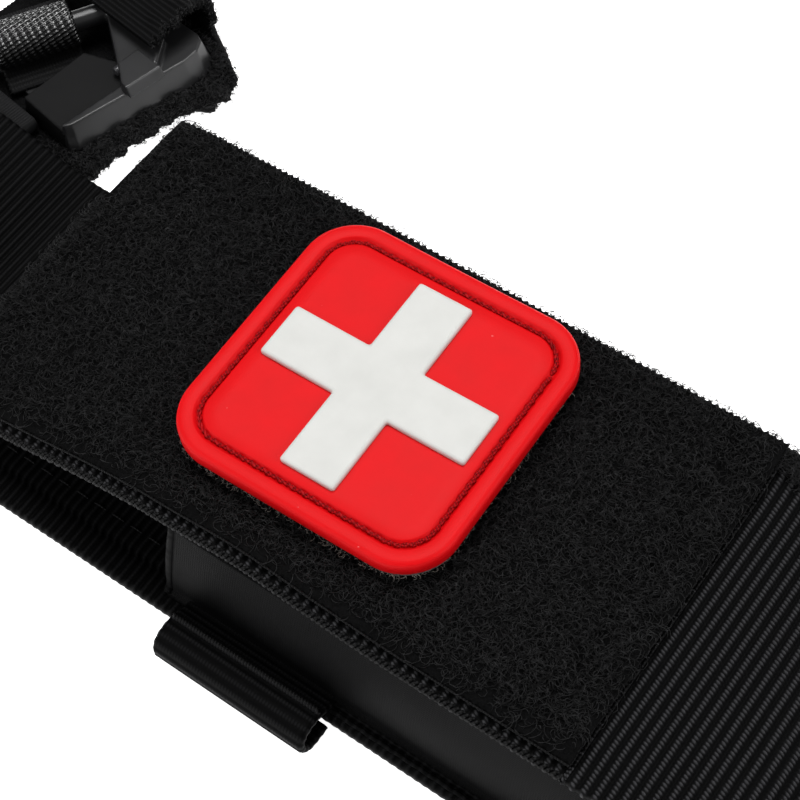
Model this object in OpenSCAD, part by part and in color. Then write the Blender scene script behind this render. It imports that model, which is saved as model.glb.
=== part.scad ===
// Strap tourniquet with a flap-covered pouch, a windlass and a side buckle.
// Origin: on the underside, on the base strap's centre line, below the patch's
// centre. +X runs along the strap to its sewn end, +Z is up. Millimetres.

/* [Straps] */
// Width of the ribbed webbing of the base strap and the flap
strap_w = 50; // [48:0.5:52]
// Thickness of the ribbed webbing
strap_t = 2; // [1.6:0.1:2]
// Strap length from the patch's centre to the windlass end
strap_left = 222; // [220:1:240]
// Strap length from the patch's centre to the sewn end
strap_right = 125; // [118:1:140]
// Height that the strap climbs where it crosses the limb band
strap_rise = 6; // [6:0.5:7]
// Width of the hook-and-loop limb band
band_w = 38; // [36:0.5:40]
// Thickness of the limb band
band_t = 1.9; // [1.5:0.1:2]

/* [Pouch] */
// Distance of the pouch's open mouth from the patch's centre
mouth_x = 16; // [12:1:20]
// Distance of the pouch's closed end from the patch's centre
pouch_end_x = 60; // [58:0.5:61]
// Clear height of the pouch's side walls
wall_h = 14.7; // [14:0.1:15]
// Thickness of the gusset fabric
wall_t = 1.2; // [0.8:0.1:1.4]

/* [Flap] */
// Free end of the flap, measured from the patch's centre
flap_left = 52; // [48:0.5:56]
// Right edge of the loop panel, measured from the patch's centre
loop_right = 46; // [42:0.5:50]
// Hinge line of the flap, measured from the patch's centre
hinge_x = 64; // [63:0.5:66]
// Sideways offset of the flap from the base strap
flap_shift = 5.9; // [4:0.1:6]
// Thickness of the loop panel with its pile
loop_t = 1.8; // [1.4:0.1:2]

/* [Patch] */
// Side of the square patch
patch_w = 40.8; // [38:0.1:44]
// Corner radius of the patch
patch_r = 7.6; // [5:0.1:9]
// Overall size of the cross
cross_w = 31; // [28:0.1:33]
// Width of the arms of the cross
cross_arm = 8.2; // [7:0.1:10]

/* [Windlass] */
// Length of the windlass rod
rod_l = 104; // [96:1:104]
// Diameter of the windlass rod
rod_d = 9; // [8:0.5:10]
// Height of the rod's axis above the underside
rod_z = 18; // [17.5:0.5:20]

/* [Hidden] */
$fn = 48;

stitch_t = 0.4;                       // how far a row of thread stands proud
stitch_w = 0.8;
gap = 0.3;                            // clearance between parts that move
base_z = 2 * strap_t;                 // top of the two strap layers
rise_x = [60, 88, 106, 118];          // where the strap climbs and comes down
flap_z = base_z + wall_h + gap;       // underside of the flap
flap_top = flap_z + strap_t - 0.2;    // the flap webbing is a little thinner
patch_z = flap_top + loop_t + 0.2;
web_shift = flap_shift - 1.4;         // the webbing lies nearer than the panel on it
patch_y = flap_shift + 2.2;
patch_turn = 1.2;
hook_t = 1;
patch_t = 2.5;
cross_t = 0.8;
rim_w = 2.2;
groove_w = 1.2;
groove_d = 0.5;
wall_y = strap_w / 2 - 2.6;           // foot of the near side wall
wall_lean = 2.6;                      // how far the near wall leans in at its top
far_wall_y = strap_w / 2 - 1;         // outer face of the far side wall
foot_w = 3.2;                         // sewn foot of a side wall
run_w = 36;                           // width of the folded running strap
run_y = 2.4;                          // its middle line
pen_w = 25;
pen_x = 1.4;
pen_out = 6.3;
pen_h = 7.6;
pen_t = 1.1;
pen_foot = 2.2;                       // sewn foot of the pen loop
pen_seam = 0.6;                       // how far its back reaches over the strap
windlass_x = -163;
ring_x = -101;                        // hinge of the locking ring
ring_z = base_z + strap_rise + 2.2;
ring_d = 3;
ring_l = 21;
ring_w = 28;
buckle_pos = [-85.8, 39.5, 0];        // middle of the crossing band beside the strap
buckle_turn = -9;
curl_y = 17;                          // where the band starts to curl up
curl_z = 6.7;                         // height at which its end hinges
crossbar_turn = -24;
crossbar_pos = [-5, -1, 6.2];
crossbar_d = 3;
latch_x = 9.4;
latch_z = 6.6;
pin_d = 1.6;

module at_buckle() {
    translate(buckle_pos) rotate(buckle_turn) children();
}

// A slab from corner a to corner b.
module slab(a, b) {
    translate(a) cube(b - a);
}

// A flat plate with rounded corners, centred on the Z axis.
module rounded_plate(w, l, t, r) {
    linear_extrude(t) rounded_outline(w, l, r);
}

module rounded_outline(w, l, r) {
    union() {
        square([w - 2 * r, l], center = true);
        square([w, l - 2 * r], center = true);
        for (x = [-1, 1], y = [-1, 1]) {
            translate([x * (w / 2 - r), y * (l / 2 - r)]) circle(r);
        }
    }
}

// A row of separate stitches along X, each as long as its gap.
module stitch_row(x0, x1, y, z, pitch = 4) {
    count = floor((x1 - x0) / pitch);
    for (i = [0:count - 1]) {
        translate([x0 + i * pitch, y - stitch_w / 2, z]) cube([pitch * 0.6, stitch_w, stitch_t]);
    }
}

// A row of separate stitches along Y.
module stitch_column(x, y0, y1, z, pitch = 4) {
    count = floor((y1 - y0) / pitch);
    for (i = [0:count - 1]) {
        translate([x - stitch_w / 2, y0 + i * pitch, z]) cube([stitch_w, pitch * 0.6, stitch_t]);
    }
}

// The strap's profile in X and Z: flat, over the crossing band, flat again.
module strap_profile(z) {
    polygon([
        [strap_right, z], [-rise_x[0], z], [-rise_x[1], z + strap_rise],
        [-rise_x[2], z + strap_rise], [-rise_x[3], z], [-strap_left, z],
        [-strap_left, z + strap_t], [-rise_x[3], z + strap_t],
        [-rise_x[2], z + strap_rise + strap_t], [-rise_x[1], z + strap_rise + strap_t],
        [-rise_x[0], z + strap_t], [strap_right, z + strap_t]
    ]);
}

module main_strap() {
    color("#17171a")
    rotate([90, 0, 0])
    linear_extrude(strap_w, center = true) strap_profile(strap_t);
}

// Second layer under the pouch, and a shorter one under the windlass.
module backing_strap() {
    color("#141416") {
        slab([-40, -strap_w / 2, 0], [strap_right, strap_w / 2, strap_t]);
        slab([-strap_left, -strap_w / 2, 0], [-rise_x[3] - 1, strap_w / 2, strap_t]);
    }
}

module strap_end_fold() {
    color("#17171a") {
        slab([-strap_left, -strap_w / 2, base_z], [-strap_left + 4, strap_w / 2, base_z + 1.8]);
        slab([-strap_left - 2.5, -strap_w / 2, 0], [-strap_left, strap_w / 2, base_z + 1.8]);
    }
}

module end_box_stitch() {
    color("#222226")
    stitch_column(-strap_left + 2, -strap_w / 2 + 2, strap_w / 2 - 2, base_z + 1.8);
}

module edge_stitching() {
    color("#222226")
    union() {
        stitch_row(-40, -20, 7 - strap_w / 2, base_z);
        stitch_row(-40, -20, strap_w / 2 - 1.4, base_z);
        stitch_row(hinge_x + 26, strap_right - 4, 1.4 - strap_w / 2, base_z);
        for (y = [-1, 1]) {
            stitch_row(-strap_left + 6, -rise_x[3] - 4, y * (strap_w / 2 - 3), base_z);
        }
    }
}

// The crossing band, which curls up at its far end.
module limb_band() {
    color("#121214")
    at_buckle()
    union() {
        slab([-band_w / 2, -50, 0], [band_w / 2, curl_y, band_t]);
        curl(-band_w / 2, band_w / 2)
            polygon([
                [0, 0], [3, 0.6], [5, 3], [5.4, curl_z], [3, curl_z], [2.4, 3.6], [1, band_t],
                [0, band_t]
            ]);
    }
}

// An outline in the band's length and height, from x0 to x1 across the band.
module curl(x0, x1) {
    translate([x0, curl_y, 0]) rotate([90, 0, 90]) linear_extrude(x1 - x0) children();
}

// The band's end, folded back over the buckle and cut away beside the front bar.
module band_end() {
    lip = [[5.4, curl_z + gap], [4, 11], [0.4, 13.4], [0, 11], [2.2, 9.2], [3, curl_z + gap]];
    color("#121214")
    at_buckle()
    union() {
        curl(-band_w / 2, band_w / 2) polygon(lip);
        curl(-band_w / 2, 7) polygon([[0.4, 13.4], [-7.6, 13.8], [-8.2, 11.6], [0, 11]]);
    }
}

// 25 mm webbing that ties the buckle to the base strap, in two layers.
module buckle_strap() {
    color("#1b1b1e")
    at_buckle()
    translate([-14, -33, band_t + 0.1]) cube([20, 22, 3.4]);
}

// The same webbing where it is wrapped round the buckle's crossbar.
module buckle_roll() {
    color("#1b1b1e")
    at_buckle()
    translate(crossbar_pos)
    rotate(crossbar_turn)
    rotate([90, 0, 0])
    difference() {
        cylinder(h = 10.6, d = 7.6, center = true);
        cylinder(h = 15, d = crossbar_d + 0.1, center = true);
    }
}

// Moulded frame: front bar, top plate, two side arms and the crossbar.
module buckle_frame() {
    color("#26272a")
    at_buckle()
    difference() {
        union() {
            translate([11, 3.5, 2.6]) rounded_plate(7, 27, 3.4, 3);
            slab([0.6, 8.2, 3.6], [11, 10.4, 7.6]);
            slab([3, -9.6, 3.6], [11, -7.6, 6]);
            slab([0.6, -9.6, 3.6], [3.2, -7.6, 6]);
            translate(crossbar_pos) rotate(crossbar_turn) rotate([90, 0, 0])
                cylinder(h = 19.4, d = crossbar_d, center = true);
            translate([-1.6, 9.3, 5.6]) cube([4.8, 2.2, 4], center = true);
            translate([-3.75, -8.6, 4.8]) cube([13.7, 2, 2.4], center = true);
            for (y = [-7.6, 14.6]) {
                translate([latch_x, y, latch_z]) rotate([90, 0, 0])
                    cylinder(h = 2.2, d = 3.4, center = true);
            }
        }
        translate([latch_x, 3.5, latch_z]) rotate([90, 0, 0])
            cylinder(h = 27, d = pin_d + 0.1, center = true);
        slab([7.4, -6.2, 4.4], [15, 13.2, 9]);
    }
}

// Thumb latch on the front bar.
module buckle_latch() {
    color("#2b2c30")
    at_buckle()
    difference() {
        union() {
            slab([latch_x, -5.9, 4.8], [14.4, 12.9, 7.9]);
            slab([latch_x - 0.4, 0.8, 7.8], [13.8, 12.9, 9]);
            translate([latch_x, 3.5, latch_z]) rotate([90, 0, 0])
                cylinder(h = 18.8, d = 3.4, center = true);
        }
        translate([latch_x, 3.5, latch_z]) rotate([90, 0, 0])
            cylinder(h = 24, d = pin_d + 0.1, center = true);
    }
}

module latch_pin() {
    color("silver")
    at_buckle()
    translate([latch_x, 3.5, latch_z]) rotate([90, 0, 0])
        cylinder(h = 24, d = pin_d, center = true);
}

// A side wall of the pouch with its sewn foot; side is -1 near and 1 far.
module side_wall(side, foot, lean) {
    rotate([90, 0, 90])
    translate([0, 0, -mouth_x])
    linear_extrude(pouch_end_x + mouth_x)
    polygon([
        [side * foot, base_z], [side * (foot - lean), base_z + wall_h],
        [side * (foot - lean - wall_t), base_z + wall_h], [side * (foot - wall_t), base_z + 1],
        [side * (foot - foot_w), base_z + 0.8], [side * (foot - foot_w), base_z]
    ]);
}

module gusset_near() {
    color("#101012") side_wall(-1, wall_y, wall_lean);
}

module gusset_far() {
    color("#101012") side_wall(1, far_wall_y, 0);
}

module gusset_end() {
    color("#101012")
    slab([pouch_end_x, wall_lean - wall_y, base_z], [pouch_end_x + wall_t, far_wall_y, base_z + wall_h]);
}

module pouch_floor() {
    color("#0f0f11")
    slab([-mouth_x, foot_w - wall_y, base_z], [pouch_end_x, far_wall_y - foot_w, base_z + 0.8]);
}

// The running end of the strap, folded to and fro inside the pouch.
module running_strap() {
    layer = 2;
    pitch = 2.5;
    layers = 5;
    x0 = -mouth_x + 6;
    x1 = pouch_end_x - 4;
    z0 = base_z + 0.8;
    color("#1a1a1d")
    translate([0, run_y, 0])
    rotate([90, 0, 0])
    linear_extrude(run_w, center = true)
    union() {
        for (i = [0:layers - 1]) {
            translate([x0, z0 + i * pitch]) square([x1 - x0, layer]);
        }
        for (i = [0:layers - 2]) {
            translate([i % 2 == 1 ? x1 : x0, z0 + i * pitch + (pitch + layer) / 2])
                turn_outline((pitch + layer) / 2, (pitch - layer) / 2, i % 2 == 1);
        }
    }
}

// Half ring that joins two neighbouring layers of the folded strap.
module turn_outline(r_out, r_in, to_right) {
    difference() {
        circle(r_out);
        circle(r_in);
        translate([to_right ? -r_out - 1 : 0, -r_out - 1]) square([r_out + 1, 2 * r_out + 2]);
    }
}

module running_strap_tip() {
    color("#232327")
    translate([0, run_y, 0])
    slab([-mouth_x - 2, 1 - run_w / 2, base_z + 0.8 + 10],
        [-mouth_x + 6, run_w / 2 - 1, base_z + 0.8 + 12]);
}

// Loop of narrow webbing that stands out of the near edge as a pen holder.
module pen_loop() {
    loop_y = strap_w / 2 + pen_out - pen_h / 2;
    color("#161619")
    translate([pen_x, 0, 0])
    rotate([90, 0, 90])
    linear_extrude(pen_w, center = true)
    difference() {
        union() {
            translate([-loop_y, pen_h / 2]) circle(pen_h / 2);
            translate([-loop_y, 0]) square([loop_y - strap_w / 2, pen_h]);
            translate([-strap_w / 2, base_z]) square([pen_foot, pen_t]);
            translate([-strap_w / 2, base_z]) square([pen_seam, pen_h - base_z]);
        }
        translate([-loop_y, pen_h / 2]) circle(pen_h / 2 - pen_t);
        translate([-loop_y, pen_t]) square([loop_y - strap_w / 2, pen_h - 2 * pen_t]);
        translate([-strap_w / 2, -1]) square([pen_h, base_z + 1]);
    }
}

// Fixed top webbing, from the flap's hinge line down to the sewn end.
module top_webbing() {
    drop_x = hinge_x + 22;
    color("#17171a")
    translate([0, web_shift, 0])
    rotate([90, 0, 0])
    linear_extrude(strap_w, center = true)
    polygon([
        [hinge_x + gap, flap_z], [hinge_x + gap, flap_top], [hinge_x + 5, flap_top - 0.4],
        [drop_x, base_z + strap_t], [strap_right, base_z + strap_t],
        [strap_right, base_z], [drop_x - 1.4, base_z],
        [hinge_x + 4, flap_z - 0.6]
    ]);
}

module top_box_stitch() {
    x0 = hinge_x + 28;
    x1 = strap_right - 4;
    z = base_z + strap_t;
    color("#2a2a2f") {
        for (y = [-14, 26]) {
            stitch_row(x0, x1, y, z);
        }
        for (x = [x0 - 2, x1 + 1]) {
            stitch_column(x, -14, 26, z);
        }
    }
}

module closure_hook() {
    color("#0c0c0d")
    translate([0, flap_shift, 0])
    slab([-mouth_x - 26, -16, base_z], [-mouth_x - 6, 16, base_z + 1.4]);
}

module closure_loop() {
    color("#121214")
    translate([0, flap_shift, 0])
    slab([-mouth_x - 30, -19, flap_z - 1.6], [-mouth_x - 8, 19, flap_z]);
}

module flap_webbing() {
    color("#17171a")
    translate([0, web_shift, 0])
    slab([-flap_left, -strap_w / 2, flap_z], [hinge_x, strap_w / 2, flap_top]);
}

module loop_panel() {
    color("#111113")
    translate([0, flap_shift, 0])
    slab([-flap_left, -strap_w / 2, flap_top], [loop_right, strap_w / 2, flap_top + loop_t]);
}

module flap_stitching() {
    color("#222226")
    stitch_column(loop_right + 1.4, web_shift - strap_w / 2 + 2, web_shift + strap_w / 2 - 2, flap_top);
}

module at_patch(z) {
    translate([0, patch_y, z]) rotate(patch_turn) children();
}

module patch_hook() {
    color("#c9c3b4") at_patch(patch_z) rounded_plate(patch_w - 1, patch_w - 1, hook_t, patch_r - 0.5);
}

// Moulded base with a raised rim and a stitching groove inside it.
module patch_base() {
    inner = patch_w - 2 * rim_w;
    color("#e0101c")
    at_patch(patch_z + hook_t)
    difference() {
        rounded_plate(patch_w, patch_w, patch_t, patch_r);
        translate([0, 0, patch_t - groove_d])
        difference() {
            rounded_plate(inner, inner, groove_d + 1, patch_r - rim_w);
            translate([0, 0, -1])
            rounded_plate(inner - 2 * groove_w, inner - 2 * groove_w, groove_d + 3,
                patch_r - rim_w - groove_w);
        }
    }
}

module patch_cross() {
    color("white")
    at_patch(patch_z + hook_t + patch_t)
    union() {
        rounded_plate(cross_w, cross_arm, cross_t, 0.6);
        rounded_plate(cross_arm, cross_w, cross_t, 0.6);
    }
}

// Thread in the patch's groove: straight sides only, the corners are left out.
module patch_stitching() {
    reach = patch_w / 2 - rim_w - groove_w / 2;
    run = patch_w / 2 - patch_r;
    stitch_l = 1.8;
    color("#b00a14")
    at_patch(patch_z + hook_t + patch_t - groove_d)
    for (quarter = [0:3]) {
        rotate(90 * quarter)
        for (i = [0:9]) {
            translate([-run + (2 * run - stitch_l) / 9 * i, reach - 0.3, 0])
            cube([stitch_l, 0.6, 0.3]);
        }
    }
}

// Flat tunnels on the strap that the inner ribbon runs through.
module ribbon_sleeves() {
    color("#1b1b1e")
    for (side = [-1, 1]) {
        x0 = windlass_x + side * 26;
        difference() {
            translate([x0 - 17, -17, base_z]) cube([34, 34, 3.6]);
            translate([x0 - 20, -13, base_z + 1]) cube([40, 26, 1.6]);
        }
    }
}

// The ribbon inside the sleeves, rising to the rod between them.
module inner_ribbon() {
    color("#303036") {
        slab([windlass_x - 42, -12.5, base_z + 1.1], [windlass_x + 42, 12.5, base_z + 2.4]);
        translate([windlass_x - 5, -5, base_z + 2.4]) cube([10, 10, rod_z - rod_d / 2 - base_z - 3]);
    }
}

// The part of the ribbon that passes through the rod's slot and turns with it.
module windlass_ribbon() {
    z0 = rod_z - rod_d / 2 - gap;
    color("#303036") {
        translate([windlass_x - 9, -0.8, z0]) cube([18, 1.6, rod_d + 2 * gap]);
        translate([windlass_x - 9, -2.6, rod_z + rod_d / 2 + gap]) cube([18, 5.2, 1.3]);
    }
}

module windlass_rod() {
    color("#202124")
    translate([windlass_x, 0, rod_z])
    difference() {
        rotate([0, 90, 0]) cylinder(h = rod_l - 24, d = rod_d, center = true);
        cube([20, 1.8, rod_d + 2], center = true);
    }
}

// Ribbed grips at the two ends of the rod, with rounded tips.
module rod_grips() {
    grip_l = 12;
    color("#26272b")
    for (side = [-1, 1]) {
        translate([windlass_x + side * (rod_l / 2 - grip_l), 0, rod_z])
        rotate([0, side * 90, 0])
        union() {
            cylinder(h = grip_l - rod_d / 2, d = rod_d);
            translate([0, 0, grip_l - rod_d / 2])
            intersection() {
                sphere(d = rod_d);
                cylinder(h = rod_d, d = rod_d + 1);
            }
            for (i = [0:2]) {
                translate([0, 0, 1 + 2.4 * i]) cylinder(h = 1.2, d = rod_d + 1);
            }
        }
    }
}

module stabiliser_plate() {
    color("#0e0e10")
    translate([windlass_x, 0, base_z])
    rounded_plate(14, 34, 1, 2);
}

// Short webbing loop that holds the ring's hinge bar.
module ring_tether() {
    bore = ring_d + 0.1;
    seat = base_z + strap_rise - ring_z;
    color("#17171a")
    translate([ring_x, 0, ring_z])
    rotate([90, 0, 0])
    linear_extrude(16, center = true)
    difference() {
        union() {
            circle(d = bore + 1.2);
            translate([-5, seat]) square([5, -seat - bore / 2]);
        }
        circle(d = bore);
    }
}

// Locking ring that lies on the strap and flips over the rod's end.
module tri_ring() {
    color("#3a3b3f")
    translate([ring_x, 0, ring_z])
    union() {
        for (side = [-1, 1]) {
            translate([0, side * (ring_w - ring_d) / 2, 0]) rotate([0, 90, 0])
                cylinder(h = ring_l, d = ring_d);
        }
        for (x = [0, ring_l]) {
            translate([x, 0, 0]) rotate([90, 0, 0])
                cylinder(h = ring_w, d = ring_d, center = true);
        }
    }
}

module time_label() {
    color("#8f9196")
    slab([-strap_left + 8, -9, base_z], [-strap_left + 15.5, 9, base_z + 0.4]);
}

main_strap();
backing_strap();
strap_end_fold();
end_box_stitch();
edge_stitching();
limb_band();
band_end();
buckle_strap();
buckle_roll();
buckle_frame();
buckle_latch();
latch_pin();
gusset_near();
gusset_far();
gusset_end();
pouch_floor();
running_strap();
running_strap_tip();
pen_loop();
top_webbing();
top_box_stitch();
closure_hook();
closure_loop();
flap_webbing();
loop_panel();
flap_stitching();
patch_hook();
patch_base();
patch_cross();
patch_stitching();
ribbon_sleeves();
inner_ribbon();
windlass_ribbon();
windlass_rod();
rod_grips();
stabiliser_plate();
ring_tether();
tri_ring();
time_label();
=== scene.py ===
import bpy
import bmesh
import math
import numpy as np
from mathutils import Matrix, Vector


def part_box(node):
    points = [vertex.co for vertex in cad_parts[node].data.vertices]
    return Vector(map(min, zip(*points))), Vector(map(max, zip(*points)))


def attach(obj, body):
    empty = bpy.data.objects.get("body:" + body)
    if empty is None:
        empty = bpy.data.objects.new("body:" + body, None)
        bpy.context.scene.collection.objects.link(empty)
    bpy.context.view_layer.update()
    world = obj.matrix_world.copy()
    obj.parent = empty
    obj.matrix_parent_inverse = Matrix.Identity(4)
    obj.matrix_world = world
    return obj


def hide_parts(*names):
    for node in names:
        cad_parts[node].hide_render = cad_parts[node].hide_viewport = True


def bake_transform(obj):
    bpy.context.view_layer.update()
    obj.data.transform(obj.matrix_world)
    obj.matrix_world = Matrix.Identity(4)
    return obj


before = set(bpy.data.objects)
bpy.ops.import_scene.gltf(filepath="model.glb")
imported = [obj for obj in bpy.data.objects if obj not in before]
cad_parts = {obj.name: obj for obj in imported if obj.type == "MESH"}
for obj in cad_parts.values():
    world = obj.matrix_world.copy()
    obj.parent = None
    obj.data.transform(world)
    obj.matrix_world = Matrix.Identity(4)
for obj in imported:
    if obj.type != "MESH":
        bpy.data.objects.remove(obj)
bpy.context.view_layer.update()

MM = 0.001
RNG = np.random.default_rng(7)


# ---------------------------------------------------------------- camera, light and stage

CAM_AZIMUTH, CAM_ELEVATION, CAM_ROLL = 41.28, 58.34, 6.62
CAM_TARGET = Vector((0.0034, 0.0080, 0.026))
CAM_DISTANCE = 0.2374
CAM_LENS = 85.5


def add_camera():
    az, el = math.radians(CAM_AZIMUTH), math.radians(CAM_ELEVATION)
    back = Vector((math.sin(az) * math.cos(el), -math.cos(az) * math.cos(el), math.sin(el)))
    data = bpy.data.cameras.new("camera")
    data.lens = CAM_LENS
    data.sensor_width = 36
    data.clip_start = 0.005
    cam = bpy.data.objects.new("camera", data)
    bpy.context.scene.collection.objects.link(cam)
    turn = back.to_track_quat("Z", "Y").to_matrix().to_4x4()
    roll = Matrix.Rotation(math.radians(-CAM_ROLL), 4, "Z")
    cam.matrix_world = Matrix.Translation(CAM_TARGET + back * CAM_DISTANCE) @ turn @ roll
    bpy.context.scene.camera = cam


def add_area_light(name, place, size, watts):
    data = bpy.data.lights.new(name, "AREA")
    data.shape = "DISK"
    data.size = size
    data.energy = watts
    lamp = bpy.data.objects.new(name, data)
    bpy.context.scene.collection.objects.link(lamp)
    lamp.location = place
    aim = Vector(place) - Vector((0, 0, 0.01))
    lamp.rotation_euler = aim.to_track_quat("Z", "Y").to_euler()


def add_world(strength):
    world = bpy.data.worlds.new("studio")
    world.use_nodes = True
    shade = world.node_tree.nodes["Background"]
    shade.inputs["Color"].default_value = (1, 1, 1, 1)
    shade.inputs["Strength"].default_value = strength
    bpy.context.scene.world = world


# ---------------------------------------------------------------- materials

class Graph:
    """A node material, built with short calls."""

    def __init__(self, name, roughness, specular=0.5, sheen=0.0, sheen_rough=0.4):
        self.material = bpy.data.materials.new(name)
        self.material.use_nodes = True
        self.tree = self.material.node_tree
        self.shader = self.tree.nodes["Principled BSDF"]
        self.shader.inputs["Roughness"].default_value = roughness
        self.shader.inputs["Specular IOR Level"].default_value = specular
        self.shader.inputs["Sheen Weight"].default_value = sheen
        self.shader.inputs["Sheen Roughness"].default_value = sheen_rough

    def put(self, socket, value):
        if hasattr(value, "is_output"):
            self.tree.links.new(value, socket)
        else:
            socket.default_value = value

    def math(self, operation, *values):
        node = self.tree.nodes.new("ShaderNodeMath")
        node.operation = operation
        for socket, value in zip(node.inputs, values):
            self.put(socket, value)
        return node.outputs[0]

    def uv(self):
        node = self.tree.nodes.new("ShaderNodeUVMap")
        node.uv_map = "weave"
        split = self.tree.nodes.new("ShaderNodeSeparateXYZ")
        self.tree.links.new(node.outputs[0], split.inputs[0])
        return split.outputs[0], split.outputs[1]

    def object_space(self):
        return self.tree.nodes.new("ShaderNodeTexCoord").outputs["Object"]

    def noise(self, scale, detail=3.0, where=None, stretch=None):
        node = self.tree.nodes.new("ShaderNodeTexNoise")
        node.inputs["Scale"].default_value = scale
        node.inputs["Detail"].default_value = detail
        place = where or self.object_space()
        if stretch:
            mapping = self.tree.nodes.new("ShaderNodeMapping")
            mapping.inputs["Scale"].default_value = stretch
            self.tree.links.new(place, mapping.inputs["Vector"])
            place = mapping.outputs[0]
        self.tree.links.new(place, node.inputs["Vector"])
        return node.outputs["Fac"]

    def wave(self, value, pitch, phase=0.0):
        """0 to 1 and back once in each pitch."""
        turned = self.math("ADD", self.math("MULTIPLY", value, 2 * math.pi / pitch), phase)
        return self.math("MULTIPLY_ADD", self.math("COSINE", turned), 0.5, 0.5)

    def ramp(self, value, *stops):
        node = self.tree.nodes.new("ShaderNodeValToRGB")
        self.tree.links.new(value, node.inputs[0])
        elements = node.color_ramp.elements
        while len(elements) < len(stops):
            elements.new(0.5)
        for element, (place, colour) in zip(elements, stops):
            element.position = place
            element.color = (*colour, 1)
        return node.outputs[0]

    def colour(self, value):
        self.put(self.shader.inputs["Base Color"], value)

    def rough(self, value, low, high):
        self.put(self.shader.inputs["Roughness"], self.math("MULTIPLY_ADD", value, high - low, low))

    def bump(self, height, distance_mm, strength=1.0):
        node = self.tree.nodes.new("ShaderNodeBump")
        node.inputs["Distance"].default_value = distance_mm * MM
        node.inputs["Strength"].default_value = strength
        self.tree.links.new(height, node.inputs["Height"])
        self.tree.links.new(node.outputs[0], self.shader.inputs["Normal"])


def grey(value, blue=1.06):
    return (value, value, value * blue)


def webbing_material(name, pitch, bead, dark, light, relief, lean=-0.1, specular=0.1, skew=0.0,
                     gap=0.45, roughness=(0.42, 0.7)):
    """Ribs across the strap, each a rope of slanting beads, coloured by height: painted highlight on the
    crowns, painted shade in the gaps.
    """
    g = Graph(name, 0.5, specular=specular)
    s, y = g.uv()
    rib = g.wave(g.math("MULTIPLY_ADD", y, skew, s), pitch)
    slant = g.math("MULTIPLY_ADD", s, lean, y)
    beads = g.wave(slant, bead)
    fine = g.noise(2600, 2.0)
    crown = g.math("MULTIPLY", g.math("POWER", rib, 1.6), g.math("MULTIPLY_ADD", beads, gap, 1 - gap))
    height = g.math("ADD", crown, g.math("MULTIPLY_ADD", fine, 0.3, -0.12))
    # Colour follows the rib height: bead crowns take the light tone as a painted highlight, and the gaps
    # between beads and ribs go near black as painted shade.
    g.colour(g.ramp(height, (0.05, grey(dark)), (0.35, grey(0.85 * dark + 0.15 * light)), (0.8, grey(light))))
    g.rough(fine, *roughness)
    g.bump(height, relief)
    return g.material


def fuzzy_material(name, dark, light, relief=0.25):
    g = Graph(name, 0.75, specular=0.05)
    coarse = g.noise(900, 4.0)
    fine = g.noise(3600, 2.0)
    both = g.math("MULTIPLY_ADD", fine, 0.5, g.math("MULTIPLY", coarse, 0.5))
    g.colour(g.ramp(both, (0.35, grey(dark)), (0.7, grey(light))))
    g.bump(both, relief)
    return g.material


def fibre_material(name, dark, light, tint=(1, 1, 1.03), roughness=0.42):
    """Thin yarns that catch the light a little differently from place to place."""
    g = Graph(name, roughness, specular=0.14)
    patches = g.noise(1500, 2.0)
    low = tuple(dark * t for t in tint)
    high = tuple(light * t for t in tint)
    g.colour(g.ramp(patches, (0.32, low), (0.72, high)))
    g.rough(patches, roughness - 0.08, roughness + 0.15)
    return g.material


def plain_weave_material(name, dark, light, pitch=0.34, relief=0.04, specular=0.09):
    g = Graph(name, 0.62, specular=specular)
    s, y = g.uv()
    warp = g.wave(s, pitch)
    weft = g.wave(y, pitch, math.pi / 2)
    weave = g.math("MULTIPLY", warp, weft)
    cloud = g.noise(160, 3.0)
    height = g.math("MULTIPLY_ADD", cloud, 0.5, weave)
    g.colour(g.ramp(height, (0.1, grey(dark)), (1.0, grey(light))))
    g.rough(weave, 0.5, 0.72)
    g.bump(height, relief)
    return g.material


def moulded_material(name, low, high, roughness, relief=0.02, specks=None, specular=0.5):
    """Moulded plastic: slight mottling, very fine texture and, on the patch, dust specks."""
    g = Graph(name, roughness, specular=specular)
    cloud = g.noise(220, 4.0)
    grain = g.noise(5200, 2.0)
    colour = g.ramp(cloud, (0.3, low), (0.7, high))
    if specks:
        spots = g.noise(1100, 1.0)
        mix = g.tree.nodes.new("ShaderNodeMix")
        mix.data_type = "RGBA"
        g.put(mix.inputs["Factor"], g.ramp(spots, (0.79, (0, 0, 0)), (0.86, (1, 1, 1))))
        g.put(mix.inputs[6], colour)
        mix.inputs[7].default_value = (*specks, 1)
        colour = mix.outputs[2]
    g.colour(colour)
    mottle = g.math("MULTIPLY_ADD", cloud, 0.5, g.math("MULTIPLY", grain, 0.5))
    g.rough(mottle, roughness - 0.08, roughness + 0.1)
    g.bump(grain, relief, 0.6)
    return g.material


def thread_material(name, dark, light, tint=(1, 1, 1.05)):
    g = Graph(name, 0.5, specular=0.12)
    s, y = g.uv()
    ply = g.wave(g.math("ADD", s, y), 0.45)
    g.colour(g.ramp(ply, (0.1, tuple(dark * t for t in tint)), (0.9, tuple(light * t for t in tint))))
    g.bump(ply, 0.06)
    return g.material


def floor_material():
    """A pale sweep that stays almost white and takes only a soft shadow."""
    g = Graph("pale_sweep", 0.9, specular=0.1)
    cloud = g.noise(6, 2.0)
    g.colour(g.ramp(cloud, (0.3, (0.80, 0.80, 0.80)), (0.7, (0.84, 0.84, 0.84))))
    g.shader.inputs["Emission Color"].default_value = (1, 1, 1, 1)
    g.shader.inputs["Emission Strength"].default_value = 1.0
    return g.material


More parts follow.
